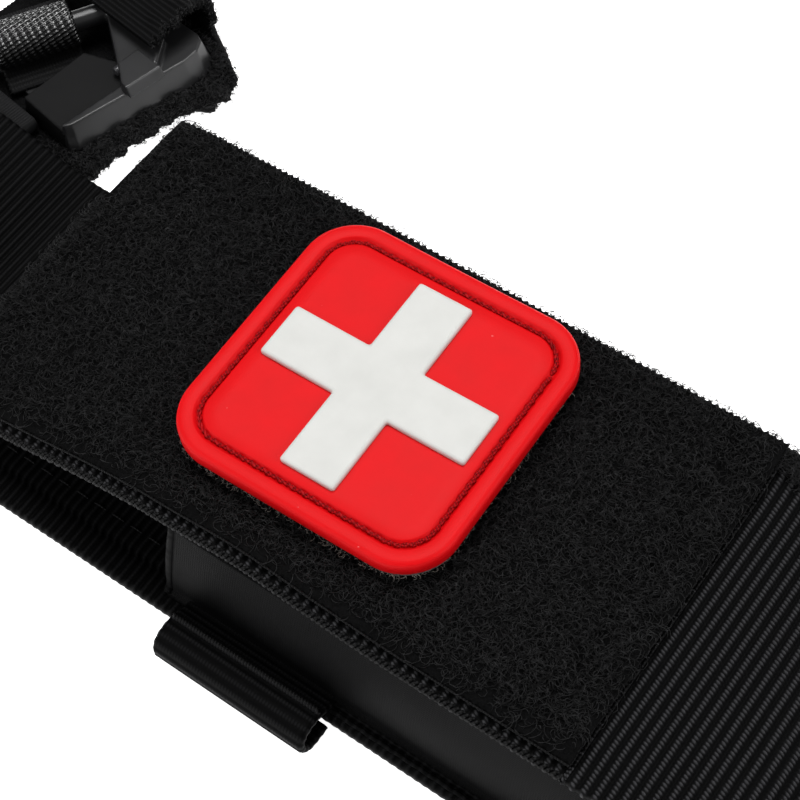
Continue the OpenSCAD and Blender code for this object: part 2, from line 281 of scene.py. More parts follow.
WEBBING = webbing_material("ribbed_webbing", 1.45, 0.525, 0.0016, 0.044, 0.06, lean=-0.32, specular=0.03,
                           gap=0.7)
STRAP = webbing_material("base_webbing", 1.27, 0.46, 0.0011, 0.0065, 0.04, specular=0.04, gap=0.3)
PEN_WEBBING = webbing_material("pen_loop_webbing", 1.2, 0.46, 0.0012, 0.0075, 0.03, specular=0.03, gap=0.6)
FINE_WEBBING = webbing_material("fine_webbing", 0.95, 1.0, 0.0025, 0.014, 0.05, specular=0.3)
ROLL_WEBBING = webbing_material("buckle_webbing", 0.57, 1.2, 0.001, 0.012, 0.04, lean=-0.25, specular=0.8,
                                skew=0.27, gap=0.8, roughness=(0.16, 0.28))
TAIL_WEBBING = webbing_material("buckle_tail_webbing", 20.0, 0.5, 0.004, 0.011, 0.03, lean=0.0)
BAND_BACK = webbing_material("band_back", 0.8, 0.5, 0.0018, 0.008, 0.06, specular=0.05)
TAPE = fuzzy_material("loop_tape", 0.0012, 0.004)
BAND_FACE = fuzzy_material("band_face", 0.002, 0.007)
HOOK_TAPE = fuzzy_material("hook_tape", 0.002, 0.006, 0.35)
PILE = fibre_material("pile_yarn", 0.002, 0.030)
BAND_FUZZ = fibre_material("band_fuzz", 0.005, 0.03)
PALE_FUZZ = fibre_material("pale_fuzz", 0.12, 0.4, tint=(1.0, 0.9, 0.8), roughness=0.6)
PALE_TAPE = fuzzy_material("pale_hook_tape", 0.08, 0.2)
GUSSET = plain_weave_material("gusset_cloth", 0.0014, 0.0038, specular=0.04)
LABEL = plain_weave_material("writing_tape", 0.26, 0.36, pitch=0.5)
RIBBON = plain_weave_material("smooth_ribbon", 0.012, 0.035, pitch=0.5, relief=0.06, specular=0.35)
THREAD = thread_material("black_thread", 0.002, 0.008)
EDGE_THREAD = thread_material("selvedge_thread", 0.0015, 0.0075)
SEAM_THREAD = thread_material("pen_loop_thread", 0.002, 0.018)
RED_THREAD = thread_material("red_thread", 0.20, 0.42, tint=(1, 0.006, 0.012))
RED = moulded_material("red_soft_plastic", (0.67, 0.0015, 0.0035), (0.72, 0.002, 0.005), 0.5,
                       specks=(0.8, 0.2, 0.2), specular=0.13)
WHITE = moulded_material("white_soft_plastic", (0.62, 0.62, 0.595), (0.67, 0.67, 0.645), 0.5, specular=0.15)
PLASTIC = moulded_material("black_nylon", (0.012, 0.012, 0.0125), (0.017, 0.017, 0.018), 0.3, relief=0.012)
# A darker, rougher copy of the black nylon for the buckle's ledge: the roughness is its own, and the darker
# colour is painted shade.
MATT_SHADED_PLASTIC = moulded_material("matt_black_nylon_painted_shade", (0.0035, 0.0035, 0.0037), (0.006, 0.006, 0.0063), 0.6,
                                specular=0.12)
METAL = moulded_material("black_steel", (0.02, 0.02, 0.022), (0.035, 0.035, 0.038), 0.3)


# ---------------------------------------------------------------- mesh helpers (all in millimetres)

def box(node):
    low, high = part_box(node)
    return np.array(low) / MM, np.array(high) / MM


def make_mesh(name, verts, quads, material, uv=None, smooth=True):
    mesh = bpy.data.meshes.new(name)
    verts = np.asarray(verts, np.float32).reshape(-1, 3) * MM
    quads = np.asarray(quads, np.int32).reshape(-1, 4)
    mesh.vertices.add(len(verts))
    mesh.vertices.foreach_set("co", verts.ravel())
    mesh.loops.add(quads.size)
    mesh.loops.foreach_set("vertex_index", quads.ravel())
    mesh.polygons.add(len(quads))
    mesh.polygons.foreach_set("loop_start", np.arange(0, quads.size, 4, dtype=np.int32))
    mesh.polygons.foreach_set("use_smooth", np.full(len(quads), smooth))
    mesh.update(calc_edges=True)
    if uv is not None:
        layer = mesh.uv_layers.new(name="weave")
        layer.data.foreach_set("uv", np.asarray(uv, np.float32)[quads.ravel()].ravel())
    mesh.materials.append(material)
    obj = bpy.data.objects.new(name, mesh)
    bpy.context.scene.collection.objects.link(obj)
    return obj


def finish_piece(obj, body, replaced=()):
    if body:
        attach(obj, body)
    if replaced:
        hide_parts(*replaced)
    return obj


def unit(v):
    return v / np.maximum(np.linalg.norm(v, axis=-1, keepdims=True), 1e-9)


def resample(points, step):
    """Points of a smooth line through the given ones, a step apart."""
    p = np.asarray(points, float)
    for _ in range(3):
        cut = np.stack([0.75 * p[:-1] + 0.25 * p[1:], 0.25 * p[:-1] + 0.75 * p[1:]], 1)
        p = np.concatenate([p[:1], cut.reshape(-1, p.shape[1]), p[-1:]])
    length = np.concatenate([[0], np.cumsum(np.linalg.norm(np.diff(p, axis=0), axis=1))])
    count = max(int(round(length[-1] / step)), 2)
    at = np.linspace(0, length[-1], count + 1)
    return np.stack([np.interp(at, length, p[:, k]) for k in range(p.shape[1])], 1), at


def strap(name, spine, side, width, thick, material, step=0.26, across=26, rib=(1.55, 0.16),
          shape=None, start=0.0, round_edge=0.35, edge_wave=0.1, edge_pitch=None, back=None, bead=None,
          skew=0.0):
    """A woven strap along a line: ribs on both faces, rounded scalloped edges, closed ends.
    bead is (pitch, depth, lean) of the yarns that make each rib a rope."""
    line, s = resample(spine, step)
    tangent = unit(np.gradient(line, axis=0))
    side = unit(np.broadcast_to(np.asarray(side, float), line.shape))
    up = unit(np.cross(tangent, side))
    half = width / 2
    u = np.linspace(-1, 1, across) * (half - round_edge)
    ring_y = np.concatenate([u, [half, half], u[::-1], [-half, -half]])
    ring_z = np.concatenate([np.full(across, thick / 2), [thick * 0.22, -thick * 0.22],
                             np.full(across, -thick / 2), [-thick * 0.22, thick * 0.22]])
    face = np.concatenate([np.ones(across), [0, 0], -np.ones(across), [0, 0]])
    edge = np.where(face == 0, np.sign(ring_y), 0)
    scallop = np.cos(2 * np.pi * (s + start) / (edge_pitch or rib[0]))
    y = ring_y[None, :] + edge[None, :] * edge_wave * scallop[:, None]
    phase = 0.5 + 0.5 * np.cos(2 * np.pi * (s[:, None] + start + skew * ring_y[None, :]) / rib[0])
    weave = rib[1] * phase ** 0.8
    if bead:
        yarn = 0.5 + 0.5 * np.cos(2 * np.pi * (y + bead[2] * (s + start)[:, None]) / bead[0])
        weave = weave * (1 - bead[1] + bead[1] * yarn)
    z = ring_z[None, :] + face[None, :] * (weave - rib[1] * 0.5)
    verts = line[:, None, :] + side[:, None, :] * y[..., None] + up[:, None, :] * z[..., None]
    if shape:
        verts = shape(verts, s[:, None] + 0 * y, y)
    n, m = y.shape
    index = np.arange(n * m).reshape(n, m)
    turned = np.roll(index, -1, axis=1)
    walls = np.stack([index[:-1], index[1:], turned[1:], turned[:-1]], -1).reshape(-1, 4)
    caps = [walls]
    for row, flip in ((0, False), (n - 1, True)):
        top = index[row, :across]
        bottom = index[row, across + 2:2 * across + 2][::-1]
        cap = np.stack([top[:-1], top[1:], bottom[1:], bottom[:-1]], -1)
        right = [[index[row, across + k] for k in (-1, 0, 1, 2)]]
        left = [[index[row, k] for k in (2 * across + 1, 2 * across + 2, 2 * across + 3, 0)]]
        cap = np.concatenate([cap, right, left])
        caps.append(cap[:, ::-1] if flip else cap)
    uv = np.stack([np.broadcast_to((s + start)[:, None], y.shape), y], -1).reshape(-1, 2)
    obj = make_mesh(name, verts, np.concatenate(caps), material, uv)
    if back:
        obj.data.materials.append(back)
        under = (np.arange(n * m).reshape(n, m)[:-1] % m >= across + 1) & (
            np.arange(n * m).reshape(n, m)[:-1] % m < 2 * across + 2)
        slots = np.concatenate([under.reshape(-1), np.zeros(sum(len(c) for c in caps[1:]), bool)])
        obj.data.polygons.foreach_set("material_index", slots.astype(np.int32))
    return obj


def tubes(name, lines, radius, material, sides=3, taper=0.6):
    """Many thin yarns in one mesh. lines is (count, points, 3)."""
    count, points, _ = lines.shape
    tangent = unit(np.gradient(lines, axis=1))
    helper = np.where(np.abs(tangent[..., 2:]) > 0.9, [[[1.0, 0, 0]]], [[[0, 0, 1.0]]])
    a = unit(np.cross(tangent, helper))
    b = np.cross(tangent, a)
    angle = np.arange(sides) * 2 * np.pi / sides
    width = radius * (1 - (1 - taper) * np.abs(np.linspace(-1, 1, points)) ** 2)
    ring = (a[:, :, None] * np.cos(angle)[None, None, :, None]
            + b[:, :, None] * np.sin(angle)[None, None, :, None])
    verts = lines[:, :, None] + ring * width[None, :, None, None]
    index = np.arange(count * points * sides).reshape(count, points, sides)
    turned = np.roll(index, -1, axis=2)
    quads = np.stack([index[:, :-1], index[:, 1:], turned[:, 1:], turned[:, :-1]], -1).reshape(-1, 4)
    flat = lines.reshape(-1, 1, 3)[:, 0]
    uv = np.repeat(flat[:, :2], sides, axis=0)
    return make_mesh(name, verts, quads, material, uv)


def curls(roots, radius, sweep, rise, points=6, lift=0.0):
    """Little open loops of yarn that start at the roots."""
    n = len(roots)
    turn = RNG.uniform(0, 2 * np.pi, n)
    tilt = RNG.uniform(-0.9, 0.9, n)
    r = RNG.uniform(*radius, n)
    arc = RNG.uniform(*sweep, n)
    high = RNG.uniform(*rise, n)
    t = np.linspace(0, 1, points)[None, :]
    ang = arc[:, None] * t
    a = np.stack([np.cos(turn), np.sin(turn), 0 * turn], -1)
    b = np.stack([-np.sin(turn) * np.cos(tilt), np.cos(turn) * np.cos(tilt), np.sin(tilt)], -1)
    path = ((r[:, None] * (1 - np.cos(ang)))[..., None] * a[:, None]
            + (r[:, None] * np.sin(ang))[..., None] * b[:, None])
    path[..., 2] = np.abs(path[..., 2]) * 0.6 + high[:, None] * np.sin(np.pi * (0.15 + 0.85 * t)) + lift
    return roots[:, None, :] + path


def twisted_cord(name, line, radius, ply, pitch, material):
    """Two yarns twisted round a line that runs along X."""
    pts, s = resample(line, 0.12)
    plies = []
    for turn in (0, np.pi):
        a = 2 * np.pi * s / pitch + turn
        plies.append(pts + np.stack([0 * s, radius * np.cos(a), radius * np.sin(a)], -1))
    return tubes(name, np.array(plies), ply, material, sides=6, taper=0.95)


def softened(name, nodes, material, voxel=0.3, rounds=6, body=None):
    """A moulded copy of CAD nodes whose sharp edges are rounded."""
    merged = bmesh.new()
    for node in nodes:
        merged.from_mesh(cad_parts[node].data)
    mesh = bpy.data.meshes.new(name)
    merged.to_mesh(mesh)
    merged.free()
    obj = bpy.data.objects.new(name, mesh)
    bpy.context.scene.collection.objects.link(obj)
    remesh_smooth(obj, voxel, rounds, material)
    return finish_piece(obj, body, nodes)


def remesh_smooth(obj, voxel, rounds, material):
    """Joins a mesh's overlapping solids into one skin and rounds its edges."""
    remesh = obj.modifiers.new("remesh", "REMESH")
    remesh.mode = "VOXEL"
    remesh.voxel_size = voxel * MM
    relax = obj.modifiers.new("smooth", "SMOOTH")
    relax.iterations = rounds
    relax.factor = 0.5
    bpy.context.view_layer.update()
    graph = bpy.context.evaluated_depsgraph_get()
    final = bpy.data.meshes.new_from_object(obj.evaluated_get(graph))
    obj.modifiers.clear()
    obj.data = final
    final.materials.clear()
    final.materials.append(material)
    final.polygons.foreach_set("use_smooth", np.full(len(final.polygons), True))


def sheet_block(name, grid, thick, material, uv_scale=1.0):
    """A closed cloth slab: grid (n, m, 3) is its outer face, thick its thickness, inwards."""
    g = np.asarray(grid, float)
    n, m, _ = g.shape
    normal = unit(np.cross(np.gradient(g, axis=0), np.gradient(g, axis=1)))
    both = np.concatenate([g.reshape(-1, 3), (g - normal * thick).reshape(-1, 3)])
    index = np.arange(n * m).reshape(n, m)
    top = np.stack([index[:-1, :-1], index[1:, :-1], index[1:, 1:], index[:-1, 1:]], -1).reshape(-1, 4)
    bottom = (top + n * m)[:, ::-1]
    rim = np.concatenate([index[:, 0], index[-1, 1:], index[-2::-1, -1], index[0, -2:0:-1]])
    after = np.roll(rim, -1)
    sides = np.stack([rim, rim + n * m, after + n * m, after], -1)
    along = np.linalg.norm(np.diff(g, axis=0), axis=-1).mean(1)
    over = np.linalg.norm(np.diff(g, axis=1), axis=-1).mean(0)
    u = np.concatenate([[0], np.cumsum(along)])[:, None] + np.zeros((1, m))
    v = np.concatenate([[0], np.cumsum(over)])[None, :] + np.zeros((n, 1))
    uv = np.stack([u, v], -1).reshape(-1, 2) * uv_scale
    return make_mesh(name, both, np.concatenate([top, bottom, sides]), material, np.concatenate([uv, uv]))


def grid_of(us, vs, point):
    """A grid of points; point(u, v) gives x, y and z arrays."""
    u, v = np.meshgrid(us, vs, indexing="ij")
    return np.stack(np.broadcast_arrays(*point(u, v)), -1)


def smooth(value, low, high):
    t = np.clip((np.asarray(value, float) - low) / (high - low), 0, 1)
    return t * t * (3 - 2 * t)


def rounded_outline(w, h, r, per_corner=12, per_side=14):
    """Points round a rounded rectangle, anticlockwise."""
    out = []
    for k, (cx, cy) in enumerate(((1, 1), (-1, 1), (-1, -1), (1, -1))):
        angle = (np.arange(per_corner + 1) / per_corner + k) * np.pi / 2
        corner = np.stack([cx * (w / 2 - r) + r * np.cos(angle), cy * (h / 2 - r) + r * np.sin(angle)], -1)
        nx, ny = ((-1, 1), (-1, -1), (1, -1), (1, 1))[k]
        start = corner[-1]
        end = np.array([nx * (w / 2 - r), ny * h / 2] if k % 2 == 0 else [nx * w / 2, ny * (h / 2 - r)])
        t = np.arange(1, per_side)[:, None] / per_side
        out += [corner, start + (end - start) * t]
    return np.concatenate(out)


def lofted(name, rings, material, cap=True):
    """A closed solid through stacked rings of points (k, n, 3), with fans of quads as caps."""
    rings = np.asarray(rings, float)
    k, n, _ = rings.shape
    index = np.arange(k * n).reshape(k, n)
    turned = np.roll(index, -1, axis=1)
    quads = [np.stack([index[:-1], turned[:-1], turned[1:], index[1:]], -1).reshape(-1, 4)]
    verts = [rings.reshape(-1, 3)]
    if cap:
        for row, flip in ((0, True), (k - 1, False)):
            centre = k * n + len(verts) - 1
            verts.append(rings[row].mean(0)[None])
            a, b, c = index[row, 0::2], index[row, 1::2], np.roll(index[row, 0::2], -1)
            fan = np.stack([np.full(len(a), centre), a, b, c], -1)
            quads.append(fan[:, ::-1] if flip else fan)
    verts = np.concatenate(verts)
    uv = verts[:, :2]
    return make_mesh(name, verts, np.concatenate(quads), material, uv)


# ---------------------------------------------------------------- the part's own measures (mm)

STRAP_W, STRAP_T = 49.7, 2.0
FLAP_SHIFT, WEB_SHIFT = 5.9, 4.5
FLAP_LEFT, LOOP_RIGHT = -52.0, 46.0
PATCH_W, PATCH_Y, PATCH_TURN = 40.8, 8.1, math.radians(1.2)
CROSS_W, CROSS_ARM = 31.0, 8.15
MOUTH_X, POUCH_END = -16.0, 60.0
NEAR_MOUTH_X = -13.6                  # the near wall starts a little further in
NEAR_Y, FAR_Y = -22.4, 24.0
BUCKLE_TURN = math.radians(9)
BASE_RIB = 1.27                       # spacing of the base strap's ribs
BACKING_INSET = 1.4                   # how much narrower the backing strap is
CREASE_Y = -20.6                      # stitched crease along the near border
PEN_X, PEN_W, PEN_T = 1.8, 24.3, 1.1


def at_buckle(x, y, z):
    """From the buckle's own directions to the part's."""
    c, s = math.cos(BUCKLE_TURN), math.sin(BUCKLE_TURN)
    return -85.8 + x * c + y * s, 39.5 - x * s + y * c, z + 0 * x


def flap_sag(x, y):
    """How far the flap stands off its flat CAD shape: its near left corner droops."""
    across = (y - FLAP_SHIFT + 25) / 50
    free = np.clip((-17 - x) / 35, 0, 1.1)
    droop = -8.6 * free ** 1.25 * np.clip(1 - across, 0, 1) ** 2.1 - 0.9 * free ** 1.5
    bulge = 1.6 * np.exp(-((x + 2) / 9) ** 2) * (1 - smooth(across, 0.0, 0.12))
    ripple = 0.25 * np.sin(x / 7.5 + y / 11) * free
    edge = 1.3 * smooth(across, 0.8, 1.0) * smooth(x, -58, -44)
    edge = edge - 0.5 * (1 - smooth(across, 0, 0.1)) * smooth(x, 8, 22)
    return droop + bulge + ripple + edge * (1 - smooth(x, 46, 62))


def free_end(x, y):
    """How far the flap's free end runs out past its flat shape: more at the near side."""
    out = np.interp(y, [-19, -6, 0, 6, 14, 22, 31], [3.6, 3.0, 1.9, 1.1, 0.5, -0.1, -0.9])
    return -out * smooth(-x, 34, 52)


def sagging(verts, s=None, y=None):
    verts = verts.copy()
    verts[..., 2] += flap_sag(verts[..., 0], verts[..., 1])
    verts[..., 0] += free_end(verts[..., 0], verts[..., 1])
    return verts


# ---------------------------------------------------------------- base straps

def climb(x):
    """Height that the base strap gains where it crosses the limb band."""
    return 6 * (smooth(-x, 65, 88.5) - smooth(-x, 104, 119))


def build_base():
    xs = np.concatenate([np.arange(125, 58, -6), np.arange(58, -58, -8), np.arange(-58, -120, -3.0),
                         np.arange(-122, -222, -8), [-222]])
    line, _ = resample(np.stack([xs, 3 + climb(xs)], -1), 0.2)
    cuts = [0] + [int(np.argmax(line[:, 0] < x)) for x in (0, -104)] + [len(line) - 1]
    start = 0.0
    for k, (name, step, across) in enumerate((("sewn_end", 0.3, 60), ("middle", 0.16, 100),
                                              ("windlass_end", 0.3, 40))):
        part = line[cuts[k]:cuts[k + 1] + 1]
        spine = np.stack([part[:, 0], 0 * part[:, 0], part[:, 1]], -1)
        main = strap(f"main_strap_{name}", spine, (0, 1, 0), STRAP_W, STRAP_T, STRAP, step=step,
                     across=across, rib=(BASE_RIB, 0.22), edge_wave=0.04, start=start, shape=edge_rows)
        finish_piece(main, "strap", ["main_strap"] if k == 0 else ())
        start += np.linalg.norm(np.diff(part, axis=0), axis=1).sum()
    for name, x0, x1 in (("backing_strap_pouch", 124.6, -40), ("backing_strap_windlass", -119.2, -221.6)):
        line = np.array([[x0, 0, 1.02], [(x0 + x1) / 2, 0, 1.02], [x1, 0, 1.02]])
        under = strap(name, line, (0, 1, 0), STRAP_W - BACKING_INSET, STRAP_T - 0.06, STRAP, step=0.31,
                      across=14, rib=(BASE_RIB, 0.12), edge_wave=0.03)
        finish_piece(under, "strap", ["backing_strap"])
    fold = [[-217.8, 0, 5.0], [-221, 0, 5.0], [-223, 0, 4.7], [-223.5, 0, 3], [-223, 0, 1.2],
            [-221.8, 0, 1.0]]
    end = strap("strap_end_folded_over", fold, (0, -1, 0), STRAP_W, 1.6, STRAP, step=0.2, across=20)
    finish_piece(end, "strap", ["strap_end_fold"])


def edge_rows(verts, s, y):
    """A stitched crease along the near border, where the ribs are broken, and the two drawn-in edges."""
    verts = verts.copy()
    verts[..., 2] -= 0.2 * np.exp(-((y - CREASE_Y) / 0.45) ** 2)
    verts[..., 0] += 0.5 * smooth(-y, 20.4, 21.0)
    verts[..., 1] -= 0.8 * smooth(y, 18, 24.5) + 0.25 * smooth(-y, 18, 24.5)
    return verts


# ---------------------------------------------------------------- flap, loop panel and its pile

def panel_dips(x, y):
    """Where the stitches pull the pile down, near the panel's right edge and at its left."""
    depth = 0
    for k in range(12):
        yk = -15.5 + 3.9 * k
        xk = 40.2 - 0.5 * math.sin(1.7 * k)
        depth = depth + np.exp(-((x - xk + 0.25 * (y - yk)) / 0.75) ** 2 - ((y - yk) / 1.5) ** 2)
    return np.clip(depth, 0, 1)


def build_flap():
    line = np.array([[46.4, WEB_SHIFT, 19.9], [20, WEB_SHIFT, 19.9], [-20, WEB_SHIFT, 19.9],
                     [-51.9, WEB_SHIFT, 19.9]])
    web = strap("flap_webbing_under_panel", line, (0, 1, 0), 49.6, 1.75, WEBBING, step=0.2, across=110,
                rib=(1.45, 0.32), bead=(0.525, 0.6, -0.32), shape=sagging, edge_wave=0.1)
    finish_piece(web, "flap", ["flap_webbing"])
    mid_y = FLAP_SHIFT + 0.1
    tape_line = np.array([[LOOP_RIGHT, mid_y, 21.35], [0, mid_y, 21.35], [FLAP_LEFT, mid_y, 21.35]])

    def tape_shape(v, s, y):
        v = sagging(v)
        v[..., 2] -= 0.7 * panel_dips(v[..., 0], v[..., 1])
        return v

    tape = strap("loop_panel_tape", tape_line, (0, 1, 0), 49.6, 1.0, TAPE, step=0.13, across=60,
                 rib=(1.02, 0.06), shape=tape_shape, edge_wave=0.2, round_edge=0.25)
    finish_piece(tape, "flap", ["loop_panel"])
    strip = strap("loop_panel_far_strip", [[45, 29.3, 20.4], [52, 29.3, 20.4], [58, 29.3, 20.4]], (0, 1, 0),
                  3.2, 0.9, TAPE, step=0.2, across=14, rib=(1.02, 0.05), shape=sagging, edge_wave=0.05)
    finish_piece(strip, "flap")
    x = np.linspace(46, -52, 120)
    for name, y, z, radius, ply, pitch in (("flap_selvedge_cord", -20.1, 20.5, 0.3, 0.27, 1.45),
                                           ("loop_panel_edge_thread", -18.9, 21.75, 0.04, 0.11, 1.0)):
        path = sagging(np.stack([x, y + 0 * x, z + 0 * x], -1))
        finish_piece(twisted_cord(name, path, radius, ply, pitch, EDGE_THREAD), "flap")
    y = np.linspace(-18.8, 28.6, 90)
    path = sagging(np.stack([46.05 + 0.05 * np.sin(2 * y), y, 21.75 + 0 * y], -1))
    finish_piece(tubes("loop_panel_right_thread", path[None], 0.1, EDGE_THREAD, sides=6), "flap")


def on_patch(x, y):
    c, s = math.cos(PATCH_TURN), math.sin(PATCH_TURN)
    px, py = x * c + (y - PATCH_Y) * s, -x * s + (y - PATCH_Y) * c
    return px, py


def under_patch(x, y, margin=1.0):
    px, py = on_patch(x, y)
    half = PATCH_W / 2 - margin
    corner = np.hypot(np.maximum(np.abs(px) - half + 6.6, 0), np.maximum(np.abs(py) - half + 6.6, 0))
    return (np.abs(px) < half) & (np.abs(py) < half) & (corner < 6.6)


def clipped(lines, roots):
    """Trims yarns short along the flap's far edge and the far half of its free end."""
    x, y = roots[:, 0], roots[:, 1]
    room = np.minimum((31.15 - y) / 1.6, np.where(y > 14, (x + 51.9) / 1.6, 1))
    scale = np.clip(room, 0.16, 1)[:, None, None]
    return roots[:, None] + (lines - roots[:, None]) * scale


def build_pile():
    edges = (FLAP_LEFT, -22, 12, LOOP_RIGHT - 0.3)
    density = 6.2
    for k in range(3):
        area = (edges[k + 1] - edges[k]) * 49
        count = int(area * density)
        x = RNG.uniform(edges[k] + 0.3, edges[k + 1] - 0.5 * (k == 2), count)
        y = FLAP_SHIFT + 0.3 + RNG.uniform(-24.2, 24.8, count)
        keep = ~under_patch(x, y, 0.6)
        dip = panel_dips(x, y)
        keep &= RNG.uniform(0, 1, count) > dip * 0.75
        border = 1 - smooth(np.abs(y - FLAP_SHIFT), 20.5, 24.2) * (y < 0) * 0.75
        keep &= RNG.uniform(0, 1, count) < border
        x, y, dip = x[keep], y[keep], dip[keep]
        roots = sagging(np.stack([x, y, 21.75 - 0.7 * dip], -1))
        lines = curls(roots, (0.35, 1.2), (1.6, 4.4), (0.15, 0.75))
        lines[..., 2] = np.maximum(lines[..., 2], roots[:, None, 2] - 0.1)
        obj = tubes(f"loop_pile_{k}", clipped(lines, roots), 0.048, PILE)
        finish_piece(obj, "flap")
    count = 2200
    x, y = FLAP_LEFT + RNG.uniform(-0.2, 1.6, count), RNG.uniform(-18, 30.5, count)
    x[:600], y[:600] = RNG.uniform(46, 57, 600), RNG.uniform(27.4, 30.7, 600)
    z = np.where(x > 0, 20.85, 21.2 + RNG.uniform(-0.6, 0.5, count))
    roots = sagging(np.stack([x, y, z], -1))
    lines = clipped(curls(roots, (0.4, 1.2), (1.6, 4.0), (0.1, 0.6)), roots)
    finish_piece(tubes("loop_pile_borders", lines, 0.05, PILE), "flap")


def build_top_webbing():
    """The flap's webbing right of the loop panel, over the pouch's end and down to the base strap."""
    profile = [[45.9, 19.9], [54, 19.95], [62, 19.9], [66, 19.3], [70, 17.2], [75, 13.2], [80, 9.2],
               [84, 6.4], [88, 5.2], [94, 5.0], [110, 5.0], [124.9, 5.0]]
    line, _ = resample(profile, 0.2)
    split = int(np.argmax(line[:, 0] > 71))
    lengths = [("top_webbing_raised_part", line[:split + 1], 0.2, 500),
               ("top_webbing_sewn_part", line[split:], 0.31, 60)]
    start = 0.0
    for name, part, step, across in lengths:
        spine = np.stack([part[:, 0], 0 * part[:, 0] + WEB_SHIFT, part[:, 1]], -1)
        top = strap(name, spine, (0, -1, 0), 49.8, 1.75, WEBBING, step=step, across=across, start=start,
                    rib=(1.45, 0.42), bead=(0.525, 0.75, -0.32), edge_wave=0.15, round_edge=0.3,
                    shape=lambda v, s, y: np.where(v[..., :1] < 64, sagging(v), v))
        start += np.linalg.norm(np.diff(part, axis=0), axis=1).sum()
        if step == 0.2:
            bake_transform(top)
            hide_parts("top_webbing")
        else:
            finish_piece(top, "strap")


# ---------------------------------------------------------------- patch

def bowed(verts):
    """The soft patch bows up a little towards its left and right edges."""
    verts = verts.copy()
    verts[..., 2] += 0.0005 * verts[..., 0] ** 2
    return verts


def to_patch(verts):
    verts = bowed(np.asarray(verts, float))
    c, s = math.cos(PATCH_TURN), math.sin(PATCH_TURN)
    x, y = verts[..., 0].copy(), verts[..., 1].copy()
    verts[..., 0], verts[..., 1] = x * c - y * s, PATCH_Y + x * s + y * c
    return verts


def build_patch():
    base_low, top = 23.8, 26.3
    profile = [(-1.2, base_low), (-0.35, base_low), (0, base_low + 0.3), (0, top - 0.75), (-0.12, top - 0.36),
               (-0.4, top - 0.1), (-0.8, top), (-2.1, top), (-2.35, top - 0.14), (-2.5, top - 0.55),
               (-3.3, top - 0.55), (-3.42, top - 0.14), (-3.65, top - 0.02), (-5.5, top - 0.02)]
    rings = []
    for inset, z in profile:
        ring = rounded_outline(PATCH_W + 2 * inset, PATCH_W + 2 * inset, max(7.5 + inset, 1.5), 16, 20)
        rings.append(np.concatenate([ring, np.full((len(ring), 1), z)], 1))
    ring = rings[-1]
    for k in range(1, 8):
        inner = ring.copy()
        inner[:, :2] *= 1 - k / 8
        rings.append(inner)
    base = lofted("patch_base", to_patch(np.array(rings)), RED)
    finish_piece(base, "patch", ["patch_base"])
    build_cross(top)
    build_patch_thread(top)
    build_patch_hook()


def cross_outline(size, arm, r=0.45):
    """Points round a cross with slightly rounded corners."""
    a, b = size / 2, arm / 2
    corners = [(a, -b), (a, b), (b, b), (b, a), (-b, a), (-b, b), (-a, b), (-a, -b), (-b, -b), (-b, -a),
               (b, -a), (b, -b)]
    out = []
    for i, p in enumerate(corners):
        p = np.array(p)
        before = unit(np.array(corners[i - 1]) - p)
        after = unit(np.array(corners[(i + 1) % 12]) - p)
        t = np.linspace(0, 1, 5)[:, None]
        start, end = p + before * r, p + after * r
        out.append((1 - t) ** 2 * start + 2 * t * (1 - t) * p + t ** 2 * end)
        nxt = np.array(corners[(i + 1) % 12]) - after * r
        steps = 8
        out.append(end + (nxt - end) * (np.arange(1, steps) / steps)[:, None])
    return np.concatenate(out)


def build_cross(top):
    outline = cross_outline(CROSS_W, CROSS_ARM)
    inner = cross_outline(CROSS_W - 0.4, CROSS_ARM - 0.4, 0.4)
    core = cross_outline(CROSS_W - 1.0, CROSS_ARM - 1.0, 0.35)
    rings = [np.concatenate([o, np.full((len(o), 1), z)], 1)
             for o, z in ((outline, top - 0.2), (outline, top + 0.5), (inner, top + 0.76), (core, top + 0.8))]
    rings = to_patch(np.array(rings))
    n = len(outline)
    index = np.arange(4 * n).reshape(4, n)
    turned = np.roll(index, -1, axis=1)
    walls = np.stack([index[:-1], turned[:-1], turned[1:], index[1:]], -1).reshape(-1, 4)
    obj = make_mesh("patch_cross", rings.reshape(-1, 3), walls, WHITE, rings.reshape(-1, 3)[:, :2])
    bm = bmesh.new()
    bm.from_mesh(obj.data)
    bm.verts.ensure_lookup_table()
    bm.faces.new([bm.verts[i] for i in index[3]])
    bm.faces.new([bm.verts[i] for i in index[0][::-1]])
    bm.normal_update()
    bm.to_mesh(obj.data)
    bm.free()
    for p in obj.data.polygons:
        p.use_smooth = len(p.vertices) == 4
    finish_piece(obj, "patch", ["patch_cross"])


def build_patch_thread(top):
    ring = rounded_outline(PATCH_W - 5.9, PATCH_W - 5.9, 4.6, 16, 40)
    ring = np.concatenate([ring, ring[:1]])
    length = np.concatenate([[0], np.cumsum(np.linalg.norm(np.diff(ring, axis=0), axis=1))])
    pitch = 1.9
    count = int(length[-1] // pitch)
    t = np.linspace(0, 1, 9)
    paths = []
    for ply in (0, 1):
        at = (np.arange(count)[:, None] * pitch + t[None] * pitch * 1.12 + 0.2)
        at = np.mod(at, length[-1])
        x, y = np.interp(at, length, ring[:, 0]), np.interp(at, length, ring[:, 1])
        out = np.stack([x, y], -1) / np.maximum(np.hypot(x, y), 1)[..., None]
        side = 0.17 * np.sin(2 * np.pi * t + np.pi * ply)[None, :, None]
        xy = np.stack([x, y], -1) + out * side + out * (0.18 * (t - 0.5))[None, :, None]
        lift = top - 0.52 + 0.26 * np.sin(np.pi * t)[None, :] ** 0.6
        lift = lift + 0.1 * np.cos(2 * np.pi * t + np.pi * ply)
        paths.append(np.concatenate([xy, np.broadcast_to(lift[..., None], xy.shape[:2] + (1,))], -1))
    lines = to_patch(np.concatenate(paths))
    obj = tubes("patch_thread", lines, 0.17, RED_THREAD, sides=6, taper=0.7)
    finish_piece(obj, "patch", ["patch_stitching"])


